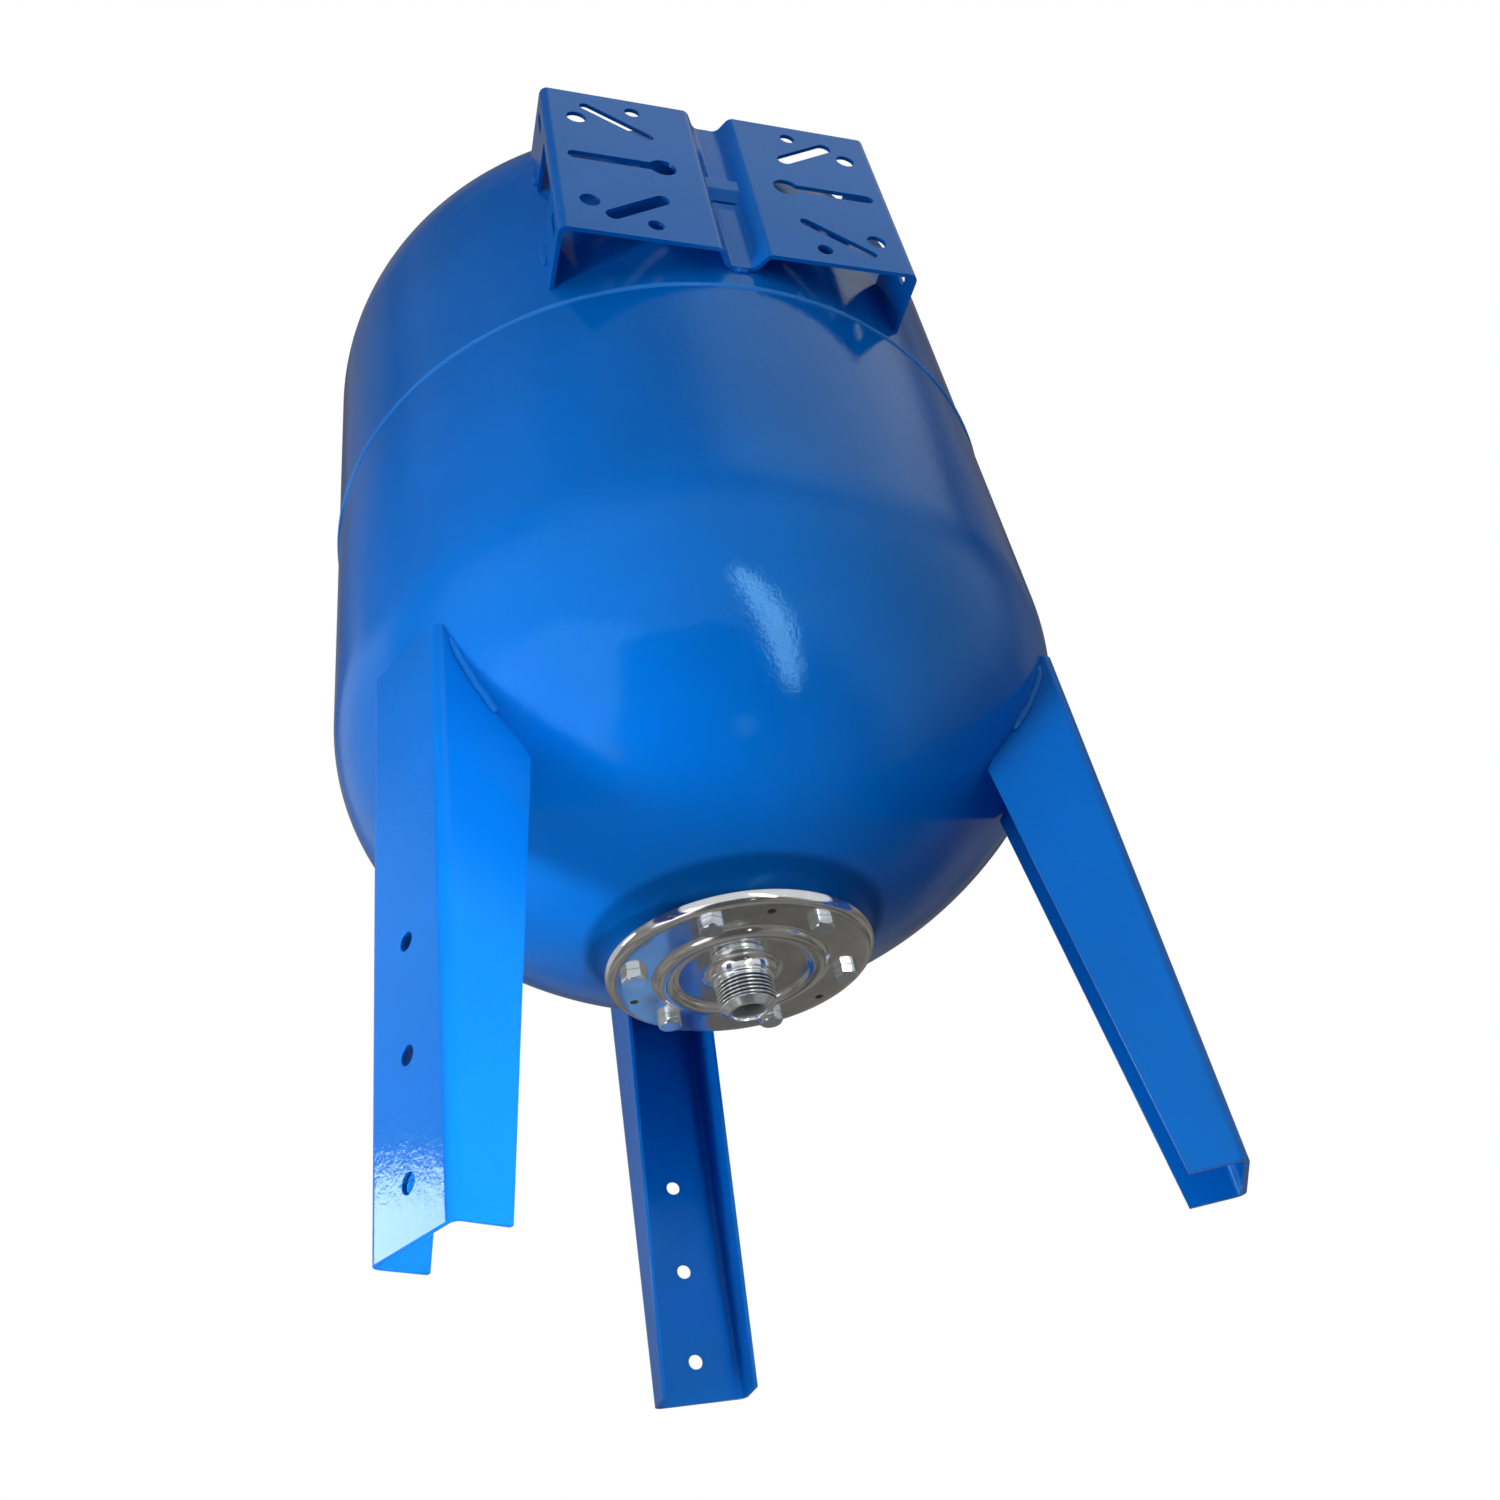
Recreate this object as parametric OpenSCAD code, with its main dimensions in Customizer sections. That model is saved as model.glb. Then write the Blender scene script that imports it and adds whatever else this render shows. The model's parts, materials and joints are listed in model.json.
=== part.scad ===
// Vertical pressure tank for a water system, on three channel legs, with a pump bracket on its side.
// Millimetres. +Z runs up the tank's axis, from the mouth of the water connection at the origin.
// The pump bracket faces -Y. Two legs stand at its left and right, the third at the back.

/* [Tank] */
// Outside diameter of the tank
tank_d = 450; // [430:5:480]
// Height of the cylinder between the two domes
straight_h = 302; // [280:2:340]
// Height of the seam above the lower dome
seam_h = 156; // [130:2:180]
// Outside radius of a dome's crown
crown_r = 265; // [258:1:280]
// Outside radius of a dome's knuckle
knuckle_r = 120; // [105:1:122]
// Thickness of the shell sheet
shell_t = 1.5; // [1.2:0.1:2.2]
// Height of the upper shell's edge that sits inside the lower shell
joggle_h = 12; // [8:1:20]
// Height of the seam's weld bead above the surface
seam_bead_h = 1.3; // [0.8:0.1:2]
// Width of the seam's weld bead
seam_bead_w = 4; // [3:0.5:6]

/* [Water connection] */
// Distance from the mouth to the cover's flat face
nipple_l = 25.5; // [22:0.5:32]
// Outside diameter of the pipe thread
nipple_d = 33.25; // [32:0.05:34]
// Diameter of the water way
bore_d = 20; // [16:0.5:23]
// Length of the thread
thread_l = 14; // [10:0.5:16]
// Height of the cone at the mouth
mouth_cone_h = 4.2; // [2:0.2:5]
// Width of the flat rim round the mouth
mouth_rim_w = 1.8; // [1:0.1:2.5]

/* [Flange cover] */
// Diameter of the cover's flat face
cover_face_d = 143; // [142:0.5:148]
// Thickness of the cover sheet
cover_t = 3; // [2.5:0.1:3.5]
// Outside radius of the cover's rounded edge
cover_edge_r = 6; // [5:0.5:8]
// Middle radius of the stiffening bead
bead_mid_r = 44; // [43:0.5:45]
// Height of the stiffening bead above the face
bead_h = 3.5; // [2:0.25:4]
// Radius of the bead's crest
bead_crest_r = 7; // [6:0.5:8]
// Radius at the foot of the bead
bead_foot_r = 4; // [3:0.5:5]
// Radius of the neck drawn up to the water connection
neck_draw_r = 6.5; // [5.5:0.5:7.5]
// Height of the drawn neck above the face
neck_draw_h = 5.5; // [4:0.25:5.5]
// Diameter of the screw circle
screw_circle_d = 125; // [124:0.5:127]
// Number of screws
screw_n = 6; // [4:1:8]
// Diameter of a screw's thread
screw_d = 8; // [6:1:8]
// Width of a screw's head across its flats
screw_flats = 13; // [10:1:13]
// Height of a screw's head
screw_head_h = 5.5; // [4:0.5:7]
// Length of a screw under its head
screw_l = 12; // [10:0.5:12]
// Play round a screw in the cover
screw_play = 0.5; // [0.2:0.1:0.7]
// Diameter of the three small holes in the cover
vent_d = 5; // [3:0.5:6]
// Diameter of the circle of the small holes
vent_circle_d = 130; // [128:0.5:131]

/* [Neck] */
// Height of the drawn neck's straight end, from which a fillet runs out into the dome
neck_straight = 1.5; // [1:0.5:3]
// Height from the neck's end to where the dome's crown would reach down to
neck_stand = 5.2; // [4:0.2:8]
// Distance from the neck's side out to the edge of the cover's flat face
neck_edge = 0.5; // [0.3:0.1:1]
// Bore of the ring inside the neck
ring_bore_d = 104; // [102:0.5:106]
// Height of the ring
ring_h = 14; // [12:0.5:18]
// Depth of the threaded blind holes
tap_depth = 10; // [9.5:0.5:11]
// Radius of the weld round the ring
ring_weld_r = 4; // [3:0.5:5]

/* [Bladder] */
// Outside diameter of the bladder's bag
bag_d = 300; // [260:5:330]
// Height of the bag's straight middle
bag_straight_h = 160; // [120:5:180]
// Outside radius of the bag's rounded ends
bag_crown_r = 190; // [180:1:210]
// Outside radius of the bag's shoulders
bag_knuckle_r = 90; // [60:1:95]
// Height of the bag's end above the bottom of the dome
bag_rise = 12; // [10:1:20]
// Thickness of the rubber
bag_t = 2; // [1.5:0.1:2.5]
// Thickness of the lip clamped under the cover
lip_t = 2.8; // [2:0.1:3.5]
// Diameter of the clamped lip
lip_d = 114; // [112:0.5:115]
// Play between the bladder's neck and the ring
lip_play = 0.3; // [0.2:0.1:0.5]

/* [Legs] */
// Angle between the front and each front leg
leg_angle = 60; // [50:1:70]
// Distance from the tank's wall in to the leg's outer face
leg_inset = 4.4; // [3:0.2:7]
// Width of a leg
leg_w = 59; // [50:1:66]
// Thickness of the leg sheet
leg_t = 2.5; // [2:0.1:3]
// Inside radius of a leg's bends
leg_bend_r = 3; // [2:0.5:4]
// Depth of a leg at the floor
leg_foot_depth = 28; // [24:1:36]
// Depth of a leg at its widest point
leg_depth = 55.5; // [54:0.5:57]
// Height of the mouth above the floor
floor_drop = 150; // [120:2:180]
// Height of a leg's top below the lower dome's edge
leg_top_drop = 42; // [38:1:48]
// Height of a leg's widest point below the lower dome's edge
leg_wide_drop = 108; // [107:0.5:111]
// Diameter of the holes in a leg
leg_hole_d = 9; // [7:0.5:11]
// Height of the lowest hole above the floor
leg_hole_rise = 24; // [20:1:30]
// Distance between the holes
leg_hole_step = 55; // [45:1:60]
// Number of holes in a leg
leg_hole_n = 3; // [1:1:3]

/* [Pump bracket] */
// Width of the bracket
bracket_w = 221; // [205:1:235]
// Height of the bracket
bracket_h = 160; // [150:1:175]
// Height of the plate's face above the tank's wall
bracket_stand = 13; // [11.5:0.5:16]
// Thickness of the bracket sheet
bracket_t = 2.5; // [2:0.1:3]
// Inside radius of the bracket's side bends
bracket_bend_r = 2.5; // [2:0.5:5]
// Height of the bracket's lower edge above the seam
bracket_rise = 17; // [12:1:24]
// Inside radius of the rib's bends at the plate
rib_bend_r = 3.2; // [2.5:0.2:3.6]
// Inside radius of the rib's bends at its floor
rib_floor_bend_r = 6; // [3:0.5:6.5]
// Width of the rib's floor
rib_floor_w = 17; // [15:0.5:20]
// Width of the rib at the plate
rib_top_w = 30; // [28:0.5:36]
// Height of the bridge pressed across the rib
bridge_h = 4; // [3.5:0.25:5]
// Length of the bridge along the rib
bridge_l = 34; // [30:1:44]
// Length of the ramp at the bridge's upper end
bridge_ramp_l = 6; // [5:0.5:8]
// Height of the bridge's sheet where it ends at the slit
bridge_tip_h = 1.2; // [0.8:0.1:1.6]
// Height of the bridge's lower tip above the bracket's middle
bridge_tip_z = -10; // [-11:0.5:-8]
// Width of the slit across the bridge
bridge_slit = 2.4; // [2:0.1:3]
// Distance from the plate's face to the cut-out between the feet
foot_gap_drop = 9; // [8:0.5:12]
// Width of the cut-out between the feet at the plate
foot_gap_top_w = 56; // [40:1:64]
// Width of the cut-out between the feet at the tank
foot_gap_low_w = 54; // [40:1:64]
// Length of the small slot in each foot
foot_slot_l = 20; // [12:1:24]
// Width of the small slots in the feet
foot_slot_w = 6; // [4.5:0.5:7]
// Height of these slots above or below the bracket's middle
foot_slot_z = 58; // [54:1:62]
// Distance from the plate's face to the middle of these slots
foot_slot_drop = 13; // [11:0.5:15]

/* [Pump mounting holes] */
// Distance across between the large holes
large_hole_x = 180; // [172:1:184]
// Distance up between the large holes
large_hole_z = 96; // [90:1:104]
// Diameter of the large holes
large_hole_d = 12.5; // [10:0.5:14]
// Distance across between the small holes
small_hole_x = 105; // [98:1:112]
// Distance up between the small holes
small_hole_z = 131; // [126:1:136]
// Diameter of the small holes
small_hole_d = 10; // [8:0.5:11]
// Distance from the middle to a keyhole's round end
keyhole_x = 40; // [34:1:46]
// Distance from the middle to a keyhole's slot end
keyhole_end_x = 95; // [80:1:97]
// Height of the keyholes above the bracket's middle
keyhole_rise = 2; // [0:0.5:4]
// Diameter of a keyhole's round end
keyhole_d = 17; // [14:0.5:19]
// Width of a keyhole's slot
keyhole_slot_w = 8.5; // [7:0.5:10]
// Distance across from the middle to the inner end of a slanted slot
slot_in_x = 45.5; // [42:0.5:50]
// Distance up or down from the middle to the inner end of a slanted slot
slot_in_z = 36.8; // [32:0.2:42]
// Distance across to the outer end of a narrow slanted slot
narrow_slot_x = 83; // [78:0.5:86]
// Distance up or down to the outer end of a narrow slanted slot
narrow_slot_z = 63.4; // [60:0.2:66]
// Width of the narrow slanted slots
narrow_slot_w = 7.5; // [6:0.5:8.5]
// Distance across to the outer end of a wide slanted slot
wide_slot_x = 77; // [72:0.5:80]
// Distance up or down to the outer end of a wide slanted slot
wide_slot_z = 60; // [56:0.2:64]
// Width of the wide slanted slots
wide_slot_w = 10; // [8:0.5:11]

/* [Air valve] */
// Outside diameter of the welded valve boss
boss_d = 22; // [18:0.5:28]
// Height of the boss above the dome
boss_h = 9; // [6:0.5:14]
// Diameter of the valve body's threaded end
valve_root_d = 12; // [10:0.5:13]
// Width of the valve body's hexagon
valve_flats = 14; // [14:0.5:16]
// Height of the valve body's hexagon
valve_hex_h = 5; // [4:0.5:7]
// Diameter of the valve stem
stem_d = 7.7; // [7.2:0.1:8]
// Length of the valve stem above the hexagon
stem_l = 14; // [12:0.5:20]
// Bore of the valve stem
stem_bore_d = 5.2; // [4.6:0.1:5.4]
// Thickness of the sealing washer
washer_t = 1.2; // [0.8:0.1:2]
// Outside diameter of the valve cap
cap_d = 12; // [11:0.5:14]
// Thickness of the cap's end
cap_end_t = 1.8; // [1.2:0.1:3]

/* [Hidden] */
$fn = 96;

blue = [0.07, 0.33, 0.68];
zinc = [0.78, 0.79, 0.78];
brass = [0.78, 0.62, 0.32];
rubber = [0.09, 0.09, 0.10];
plastic = [0.05, 0.05, 0.06];

eps = 0.01;
far = 1000;

tank_r = tank_d / 2;
wall_lap = 0.8;

// Depth of a dome of outer radius r, whose crown and knuckle are drawn with the radii c and k
function dome_depth(r, c, k) = c - dome_centre(r, c, k);
// Distance from the dome's edge back to the centre of its crown
function dome_centre(r, c, k) = sqrt(pow(c - k, 2) - pow(r - k, 2));
// Radius at which the crown meets the knuckle
function dome_join_r(r, c, k) = c * (r - k) / (c - k);
// Distance from the dome's edge out to its surface at the radius x
function dome_height_at(x, r, c, k) =
    x < dome_join_r(r, c, k) ? sqrt(c * c - x * x) - dome_centre(r, c, k) : sqrt(k * k - pow(x - r + k, 2));

face_z = nipple_l;
seat_z = face_z + cover_t;
dome_low_z = seat_z + neck_stand;
dome_h = dome_depth(tank_r, crown_r, knuckle_r);
edge_low_z = dome_low_z + dome_h;
seam_z = edge_low_z + seam_h;
edge_high_z = edge_low_z + straight_h;
top_z = edge_high_z + dome_h;
floor_z = -floor_drop;

// Height of the lower dome's outer surface at the radius x
function low_dome_z(x) = edge_low_z - dome_height_at(x, tank_r, crown_r, knuckle_r);
// Height of the upper dome's outer surface at the radius x
function high_dome_z(x) = edge_high_z + dome_height_at(x, tank_r, crown_r, knuckle_r);

// General shapes

function unit(v) = v / norm(v);
function turn_angle(a, b, c) =
    let (u = unit(b - a), v = unit(c - b)) atan2(u[0] * v[1] - u[1] * v[0], u * v);
// Length that a bend of radius r takes from each side of the corner b
function bend_reach(a, b, c, r) = r * tan(abs(turn_angle(a, b, c)) / 2);
function bend_or_end_reach(p, r, i) =
    i == 0 || i == len(p) - 1 ? 0 : bend_reach(p[i - 1], p[i], p[i + 1], r[i]);

// Section of a sheet that follows the points p with its middle, with the bend radii r, also at its middle
module sheet_section(p, r, t) {
    for (i = [0:len(p) - 2]) {
        u = unit(p[i + 1] - p[i]);
        n = [-u[1], u[0]] * t / 2;
        a = p[i] + u * bend_or_end_reach(p, r, i);
        b = p[i + 1] - u * bend_or_end_reach(p, r, i + 1);
        if (norm(b - a) > eps) polygon([a - n, b - n, b + n, a + n]);
    }
    for (i = [1:len(p) - 2]) sheet_bend(p[i - 1], p[i], p[i + 1], r[i], t);
}

// One bend of the sheet, a sector of a ring that laps over the straight parts on both sides
lap = 0.02;
module sheet_bend(a, b, c, r, t) {
    angle = turn_angle(a, b, c);
    u = unit(b - a);
    v = unit(c - b);
    side = sign(angle);
    reach = bend_reach(a, b, c, r);
    centre = b - u * reach + [-u[1], u[0]] * side * r;
    far_r = r + t;
    from_a = -[-u[1], u[0]] * side;
    from_c = -[-v[1], v[0]] * side;
    intersection() {
        translate(centre) difference() {
            circle(r + t / 2);
            circle(r - t / 2);
        }
        polygon([centre - u * lap, centre - u * lap + from_a * far_r,
                 centre + unit(b - centre) * 2 * far_r / cos(angle / 2),
                 centre + v * lap + from_c * far_r, centre + v * lap]);
    }
}

// Half section of a domed vessel, with its lower dome's edge at height 0
module vessel_section(r, c, k, straight) {
    centre = dome_centre(r, c, k);
    depth = dome_depth(r, c, k);
    reach = 2 * (centre + depth);
    wedge_x = (r - k) / centre * reach;
    square([r, straight]);
    for (end = [0, 1]) translate([0, end * straight]) mirror([0, end]) {
        intersection() {
            translate([0, centre]) circle(c, $fn = 360);
            polygon([[0, centre], [wedge_x, centre - reach], [0, centre - reach]]);
        }
        intersection() {
            translate([r - k, 0]) circle(k, $fn = 360);
            polygon([[r - k, 0], [r - k + wedge_x, -reach], [r + k, 0]]);
        }
    }
}

// Solid of everything inside the tank's outer surface
module tank_solid() {
    translate([0, 0, edge_low_z]) rotate_extrude($fn = 240)
        vessel_section(tank_r, crown_r, knuckle_r, straight_h);
}

// Half section of the tank at a depth below its outer surface
module tank_section(inset) {
    translate([0, edge_low_z])
        vessel_section(tank_r - inset, crown_r - inset, knuckle_r - inset, straight_h);
}

// Centre of the circle through three points
function circle_centre(a, b, c) =
    let (d = 2 * (a[0] * (b[1] - c[1]) + b[0] * (c[1] - a[1]) + c[0] * (a[1] - b[1])),
         aa = a * a,
         bb = b * b,
         cc = c * c)
    [(aa * (b[1] - c[1]) + bb * (c[1] - a[1]) + cc * (a[1] - b[1])) / d,
     (aa * (c[0] - b[0]) + bb * (a[0] - c[0]) + cc * (b[0] - a[0])) / d];

// Copies round the tank's axis
module around(n, first = 0) {
    for (i = [0:n - 1]) rotate([0, 0, first + i * 360 / n]) children();
}

// Shells and seam

joggle_step = 3;
seam_bead_r = (pow(seam_bead_w / 2, 2) + pow(seam_bead_h, 2)) / (2 * seam_bead_h);

neck_r = cover_face_d / 2 - neck_edge;
crown_z = dome_low_z + crown_r;
neck_fillet_z = seat_z + neck_straight;
// Radius at which the fillet touches both the neck's side and the crown
neck_fillet_r = (pow(neck_r, 2) + pow(crown_z - neck_fillet_z, 2) - pow(crown_r, 2)) / (2 * (crown_r - neck_r));
neck_fillet_x = neck_r + neck_fillet_r;
// Direction from the fillet's centre to the crown's, in which the two meet, and how far they lap there
neck_up = unit([-neck_fillet_x, crown_z - neck_fillet_z]);
neck_lap = 0.4;

module lower_shell() {
    color(blue) rotate_extrude() {
        difference() {
            intersection() {
                tank_section(0);
                square([far, seam_z]);
            }
            tank_section(shell_t);
            polygon([[0, crown_z], [0, crown_z] - neck_up * 2 * crown_r, [0, crown_z - 2 * crown_r]]);
        }
        neck_section();
    }
}

// Half section of the neck: the fillet out of the dome, and a short straight end
module neck_section() {
    centre = [neck_fillet_x, neck_fillet_z];
    reach = 3 * neck_fillet_r;
    aside = [neck_up[1], -neck_up[0]] * neck_lap;
    intersection() {
        difference() {
            translate(centre) circle(neck_fillet_r + shell_t, $fn = 360);
            translate(centre) circle(neck_fillet_r, $fn = 360);
        }
        polygon([centre, centre + [-reach, 0], centre + [-reach, reach],
                 centre + aside + neck_up * reach, centre + aside]);
    }
    translate([neck_r - shell_t, seat_z]) square([shell_t, neck_straight]);
}

module upper_shell() {
    color(blue) difference() {
        rotate_extrude() {
            difference() {
                tank_section(0);
                square([far, seam_z]);
                tank_section(shell_t);
            }
            // Edge set inwards by one sheet, which sits inside the lower shell
            translate([tank_r - 2 * shell_t, seam_z - joggle_h]) square([shell_t, joggle_h + joggle_step]);
        }
        translate([0, 0, edge_high_z]) cylinder(d = valve_root_d, h = far);
    }
}

// Cap of a round bead on the shell at the seam
module seam_weld() {
    color(blue) rotate_extrude() difference() {
        translate([tank_r + seam_bead_h - seam_bead_r, seam_z]) circle(seam_bead_r);
        translate([0, seam_z - tank_r]) square([tank_r, 2 * tank_r]);
    }
}

// Ring inside the neck, which the screws and the bladder's lip are held by

ring_r = neck_r - shell_t;
ring_bore_r = ring_bore_d / 2;
lip_r = lip_d / 2;
screw_circle_r = screw_circle_d / 2;

module neck_ring() {
    color(blue) difference() {
        rotate_extrude() difference() {
            translate([ring_bore_r, seat_z]) square([ring_r - ring_bore_r, ring_h]);
            square([lip_r + lip_play, seat_z + lip_t]);
        }
        around(screw_n) translate([screw_circle_r, 0, seat_z - eps])
            cylinder(d = screw_d, h = tap_depth + eps);
    }
}

// Bead between the ring's top edge and the neck, inside the tank
module neck_ring_weld() {
    color(blue) rotate_extrude() difference() {
        translate([ring_r + ring_weld_r / 3, seat_z + ring_h]) circle(ring_weld_r);
        translate([0, seat_z]) square([ring_r, ring_h]);
        translate([neck_fillet_x, neck_fillet_z]) circle(neck_fillet_r + shell_t, $fn = 360);
    }
}

// Bladder

bag_r = bag_d / 2;
bag_edge_z = dome_low_z + bag_rise + dome_depth(bag_r, bag_crown_r, bag_knuckle_r);
bag_top_z = bag_edge_z + bag_straight_h + dome_depth(bag_r, bag_crown_r, bag_knuckle_r);
// Moulded pip that thickens the middle of the closed end
pip_r = 7;
pip_h = 2;
module bladder() {
    neck_r = ring_bore_r - lip_play;
    neck_bore_r = neck_r - bag_t;
    neck_top_z = bag_edge_z - dome_height_at(neck_r, bag_r, bag_crown_r, bag_knuckle_r) + bag_t / 2;
    color(rubber) rotate_extrude() {
        difference() {
            bag_section(0);
            bag_section(bag_t);
            square([neck_bore_r, bag_edge_z]);
        }
        translate([neck_bore_r, seat_z]) square([bag_t, neck_top_z - seat_z]);
        translate([neck_bore_r, seat_z]) square([lip_r - neck_bore_r, lip_t]);
        translate([0, bag_top_z - bag_t - pip_h]) square([pip_r, bag_t + 2 * pip_h]);
    }
}

module bag_section(inset) {
    translate([0, bag_edge_z])
        vessel_section(bag_r - inset, bag_crown_r - inset, bag_knuckle_r - inset, bag_straight_h);
}

// Flange cover with its drawn neck, stiffening bead and rounded edge, all in one sheet

cover_face_r = cover_face_d / 2;
vent_n = 3;
shoulder_r = nipple_d / 2 + wall_lap;
spigot_r = shoulder_r - cover_t;

cover_mid_y = -cover_t / 2;
crest_mid_r = bead_crest_r - cover_t / 2;
foot_mid_r = bead_foot_r + cover_t / 2;
bead_slope = acos(1 - bead_h / (crest_mid_r + foot_mid_r));
bead_half_w = (crest_mid_r + foot_mid_r) * sin(bead_slope) - foot_mid_r * tan(bead_slope / 2);
bead_peak_y = cover_mid_y + bead_h + crest_mid_r * (1 / cos(bead_slope) - 1);

// Half section of the cover from its neck out to its edge, seen with the face up
module cover_section() {
    neck_x = spigot_r + cover_t / 2;
    edge_x = cover_face_r + cover_edge_r - cover_t / 2;
    difference() {
        sheet_section([[neck_x, neck_draw_r], [neck_x, cover_mid_y],
                       [bead_mid_r - bead_half_w, cover_mid_y], [bead_mid_r, bead_peak_y],
                       [bead_mid_r + bead_half_w, cover_mid_y],
                       [edge_x, cover_mid_y], [edge_x, -cover_edge_r]],
                      [0, neck_draw_r + cover_t / 2,
                       foot_mid_r, crest_mid_r,
                       foot_mid_r,
                       cover_edge_r - cover_t / 2, 0],
                      cover_t);
        translate([0, neck_draw_h]) square([bead_mid_r - bead_half_w, neck_draw_r]);
    }
}

module flange_cover() {
    color(zinc) difference() {
        translate([0, 0, face_z]) rotate_extrude() mirror([0, 1]) cover_section();
        around(screw_n) translate([screw_circle_r, 0, 0])
            cylinder(d = screw_d + 2 * screw_play, h = 2 * seat_z);
        around(vent_n, 30) translate([vent_circle_d / 2, 0, 0]) cylinder(d = vent_d, h = 2 * seat_z);
    }
}

// Water nipple: a spigot in the cover's neck, a smooth shoulder, the thread and a coned mouth

module water_nipple() {
    shoulder_z = face_z - neck_draw_h;
    thread_z = mouth_cone_h + thread_l;
    color(zinc) difference() {
        union() {
            translate([0, 0, mouth_cone_h]) cylinder(d = nipple_d, h = shoulder_z - mouth_cone_h);
            translate([0, 0, thread_z]) cylinder(r = shoulder_r, h = shoulder_z - thread_z);
            cylinder(r1 = bore_d / 2 + mouth_rim_w, r2 = nipple_d / 2, h = mouth_cone_h);
            cylinder(r = spigot_r, h = seat_z);
        }
        translate([0, 0, -eps]) cylinder(d = bore_d, h = 2 * seat_z);
    }
}

// Bead inside the cover, between its sheet and the nipple's spigot
module nipple_weld() {
    weld_r = 2;
    color(zinc) rotate_extrude() intersection() {
        translate([spigot_r, seat_z]) circle(weld_r);
        translate([spigot_r - weld_r, seat_z]) square(2 * weld_r);
        translate([bore_d / 2, 0]) square(far);
    }
}

module flange_screws() {
    color(zinc) around(screw_n) translate([screw_circle_r, 0, face_z]) {
        cylinder(d = screw_d, h = screw_l);
        mirror([0, 0, 1]) hex_head(screw_flats, screw_head_h);
    }
}

// Hexagonal head with a chamfered top
module hex_head(flats, h) {
    corners_r = flats / 2 / cos(30);
    chamfer = 0.8;
    intersection() {
        cylinder(r = corners_r, h = h, $fn = 6);
        union() {
            cylinder(r = corners_r + eps, h = h - chamfer);
            translate([0, 0, h - chamfer]) cylinder(r1 = corners_r + eps, r2 = flats / 2, h = chamfer);
        }
    }
}

// Legs: a folded channel, seen here at the front and turned to its place

leg_face_r = tank_r - leg_inset;
leg_top_z = edge_low_z - leg_top_drop;
leg_wide_z = edge_low_z - leg_wide_drop;
// Above its widest point the leg is blanked a little long and trimmed to the dome
leg_top_depth = 9;

module leg() {
    mid_w = leg_w / 2 - leg_t / 2;
    web_y = -(leg_face_r - leg_t / 2);
    bend = leg_bend_r + leg_t / 2;
    inner_y = -(leg_face_r - leg_depth - leg_t);
    color(blue) difference() {
        intersection() {
            translate([0, 0, floor_z]) linear_extrude(leg_top_z - floor_z)
                sheet_section([[-mid_w, inner_y], [-mid_w, web_y], [mid_w, web_y], [mid_w, inner_y]],
                              [0, bend, bend, 0], leg_t);
            // Side view of the leg: its foot, its widest point and its top
            rotate([90, 0, 90]) translate([0, 0, -leg_w]) linear_extrude(2 * leg_w)
                polygon([[-leg_face_r - eps, floor_z - eps], [-leg_face_r + leg_foot_depth, floor_z - eps],
                         [-leg_face_r + leg_depth, leg_wide_z],
                         [-leg_face_r + leg_top_depth, leg_top_z + eps],
                         [-leg_face_r - eps, leg_top_z + eps]]);
        }
        tank_solid();
        for (i = [0:leg_hole_n - 1])
            translate([0, -leg_face_r + leg_t * 2, floor_z + leg_hole_rise + i * leg_hole_step])
                rotate([90, 0, 0]) cylinder(d = leg_hole_d, h = leg_t * 3);
    }
}

// Two beads, one along the outside of each side of a leg.
// Each follows the circle through three points of the dome.
leg_bead_r = 3;
leg_bead_from = 8;
leg_bead_to = 36;
module leg_welds() {
    x = leg_w / 2;
    p = [for (i = [0, 0.5, 1]) let (y = leg_face_r - leg_bead_from - i * (leg_bead_to - leg_bead_from))
         [-y, low_dome_z(norm([x, y]))]];
    centre = circle_centre(p[0], p[1], p[2]);
    color(blue) difference() {
        for (side = [-1, 1]) intersection() {
            translate([side * x, centre[0], centre[1]]) rotate([0, 90, 0]) rotate_extrude($fn = 360)
                translate([norm(p[0] - centre), 0]) circle(leg_bead_r);
            translate([side * x - leg_bead_r, p[0][0], floor_z])
                cube([2 * leg_bead_r, p[2][0] - p[0][0], edge_low_z - floor_z]);
        }
        tank_solid();
        translate([-x, -tank_d, floor_z]) cube([2 * x, tank_d, far]);
    }
}

module left_leg() { rotate([0, 0, -leg_angle]) leg(); }
module right_leg() { rotate([0, 0, leg_angle]) leg(); }
module rear_leg() { rotate([0, 0, 180]) leg(); }
module left_leg_welds() { rotate([0, 0, -leg_angle]) leg_welds(); }
module right_leg_welds() { rotate([0, 0, leg_angle]) leg_welds(); }
module rear_leg_welds() { rotate([0, 0, 180]) leg_welds(); }

// Pump bracket: one folded sheet, with a rib down its middle and two feet on each side

plate_y = -(tank_r + bracket_stand);
plate_mid_y = plate_y + bracket_t / 2;
bracket_low_z = seam_z + bracket_rise;
bracket_mid_z = bracket_low_z + bracket_h / 2;
rib_y = -(tank_r + bracket_t / 2);
side_x = bracket_w / 2;
foot_y = -sqrt(pow(tank_r, 2) - pow(side_x, 2));
foot_sink = 8;
bridge_end_l = 3;
bridge_bend_r = 3;
bridge_edge = 0.5;
gap_corner_r = 3;
// Flat width of the rib's floor between its bends, and where the bends run out into the rib's walls
rib_corner = [rib_floor_w / 2, rib_y];
rib_wall_end = [rib_top_w / 2, plate_mid_y];
rib_reach = bend_reach([0, rib_y], rib_corner, rib_wall_end, rib_floor_bend_r + bracket_t / 2);
rib_flat_w = rib_floor_w - 2 * rib_reach;
rib_wall_start = rib_corner + unit(rib_wall_end - rib_corner) * rib_reach;

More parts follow.
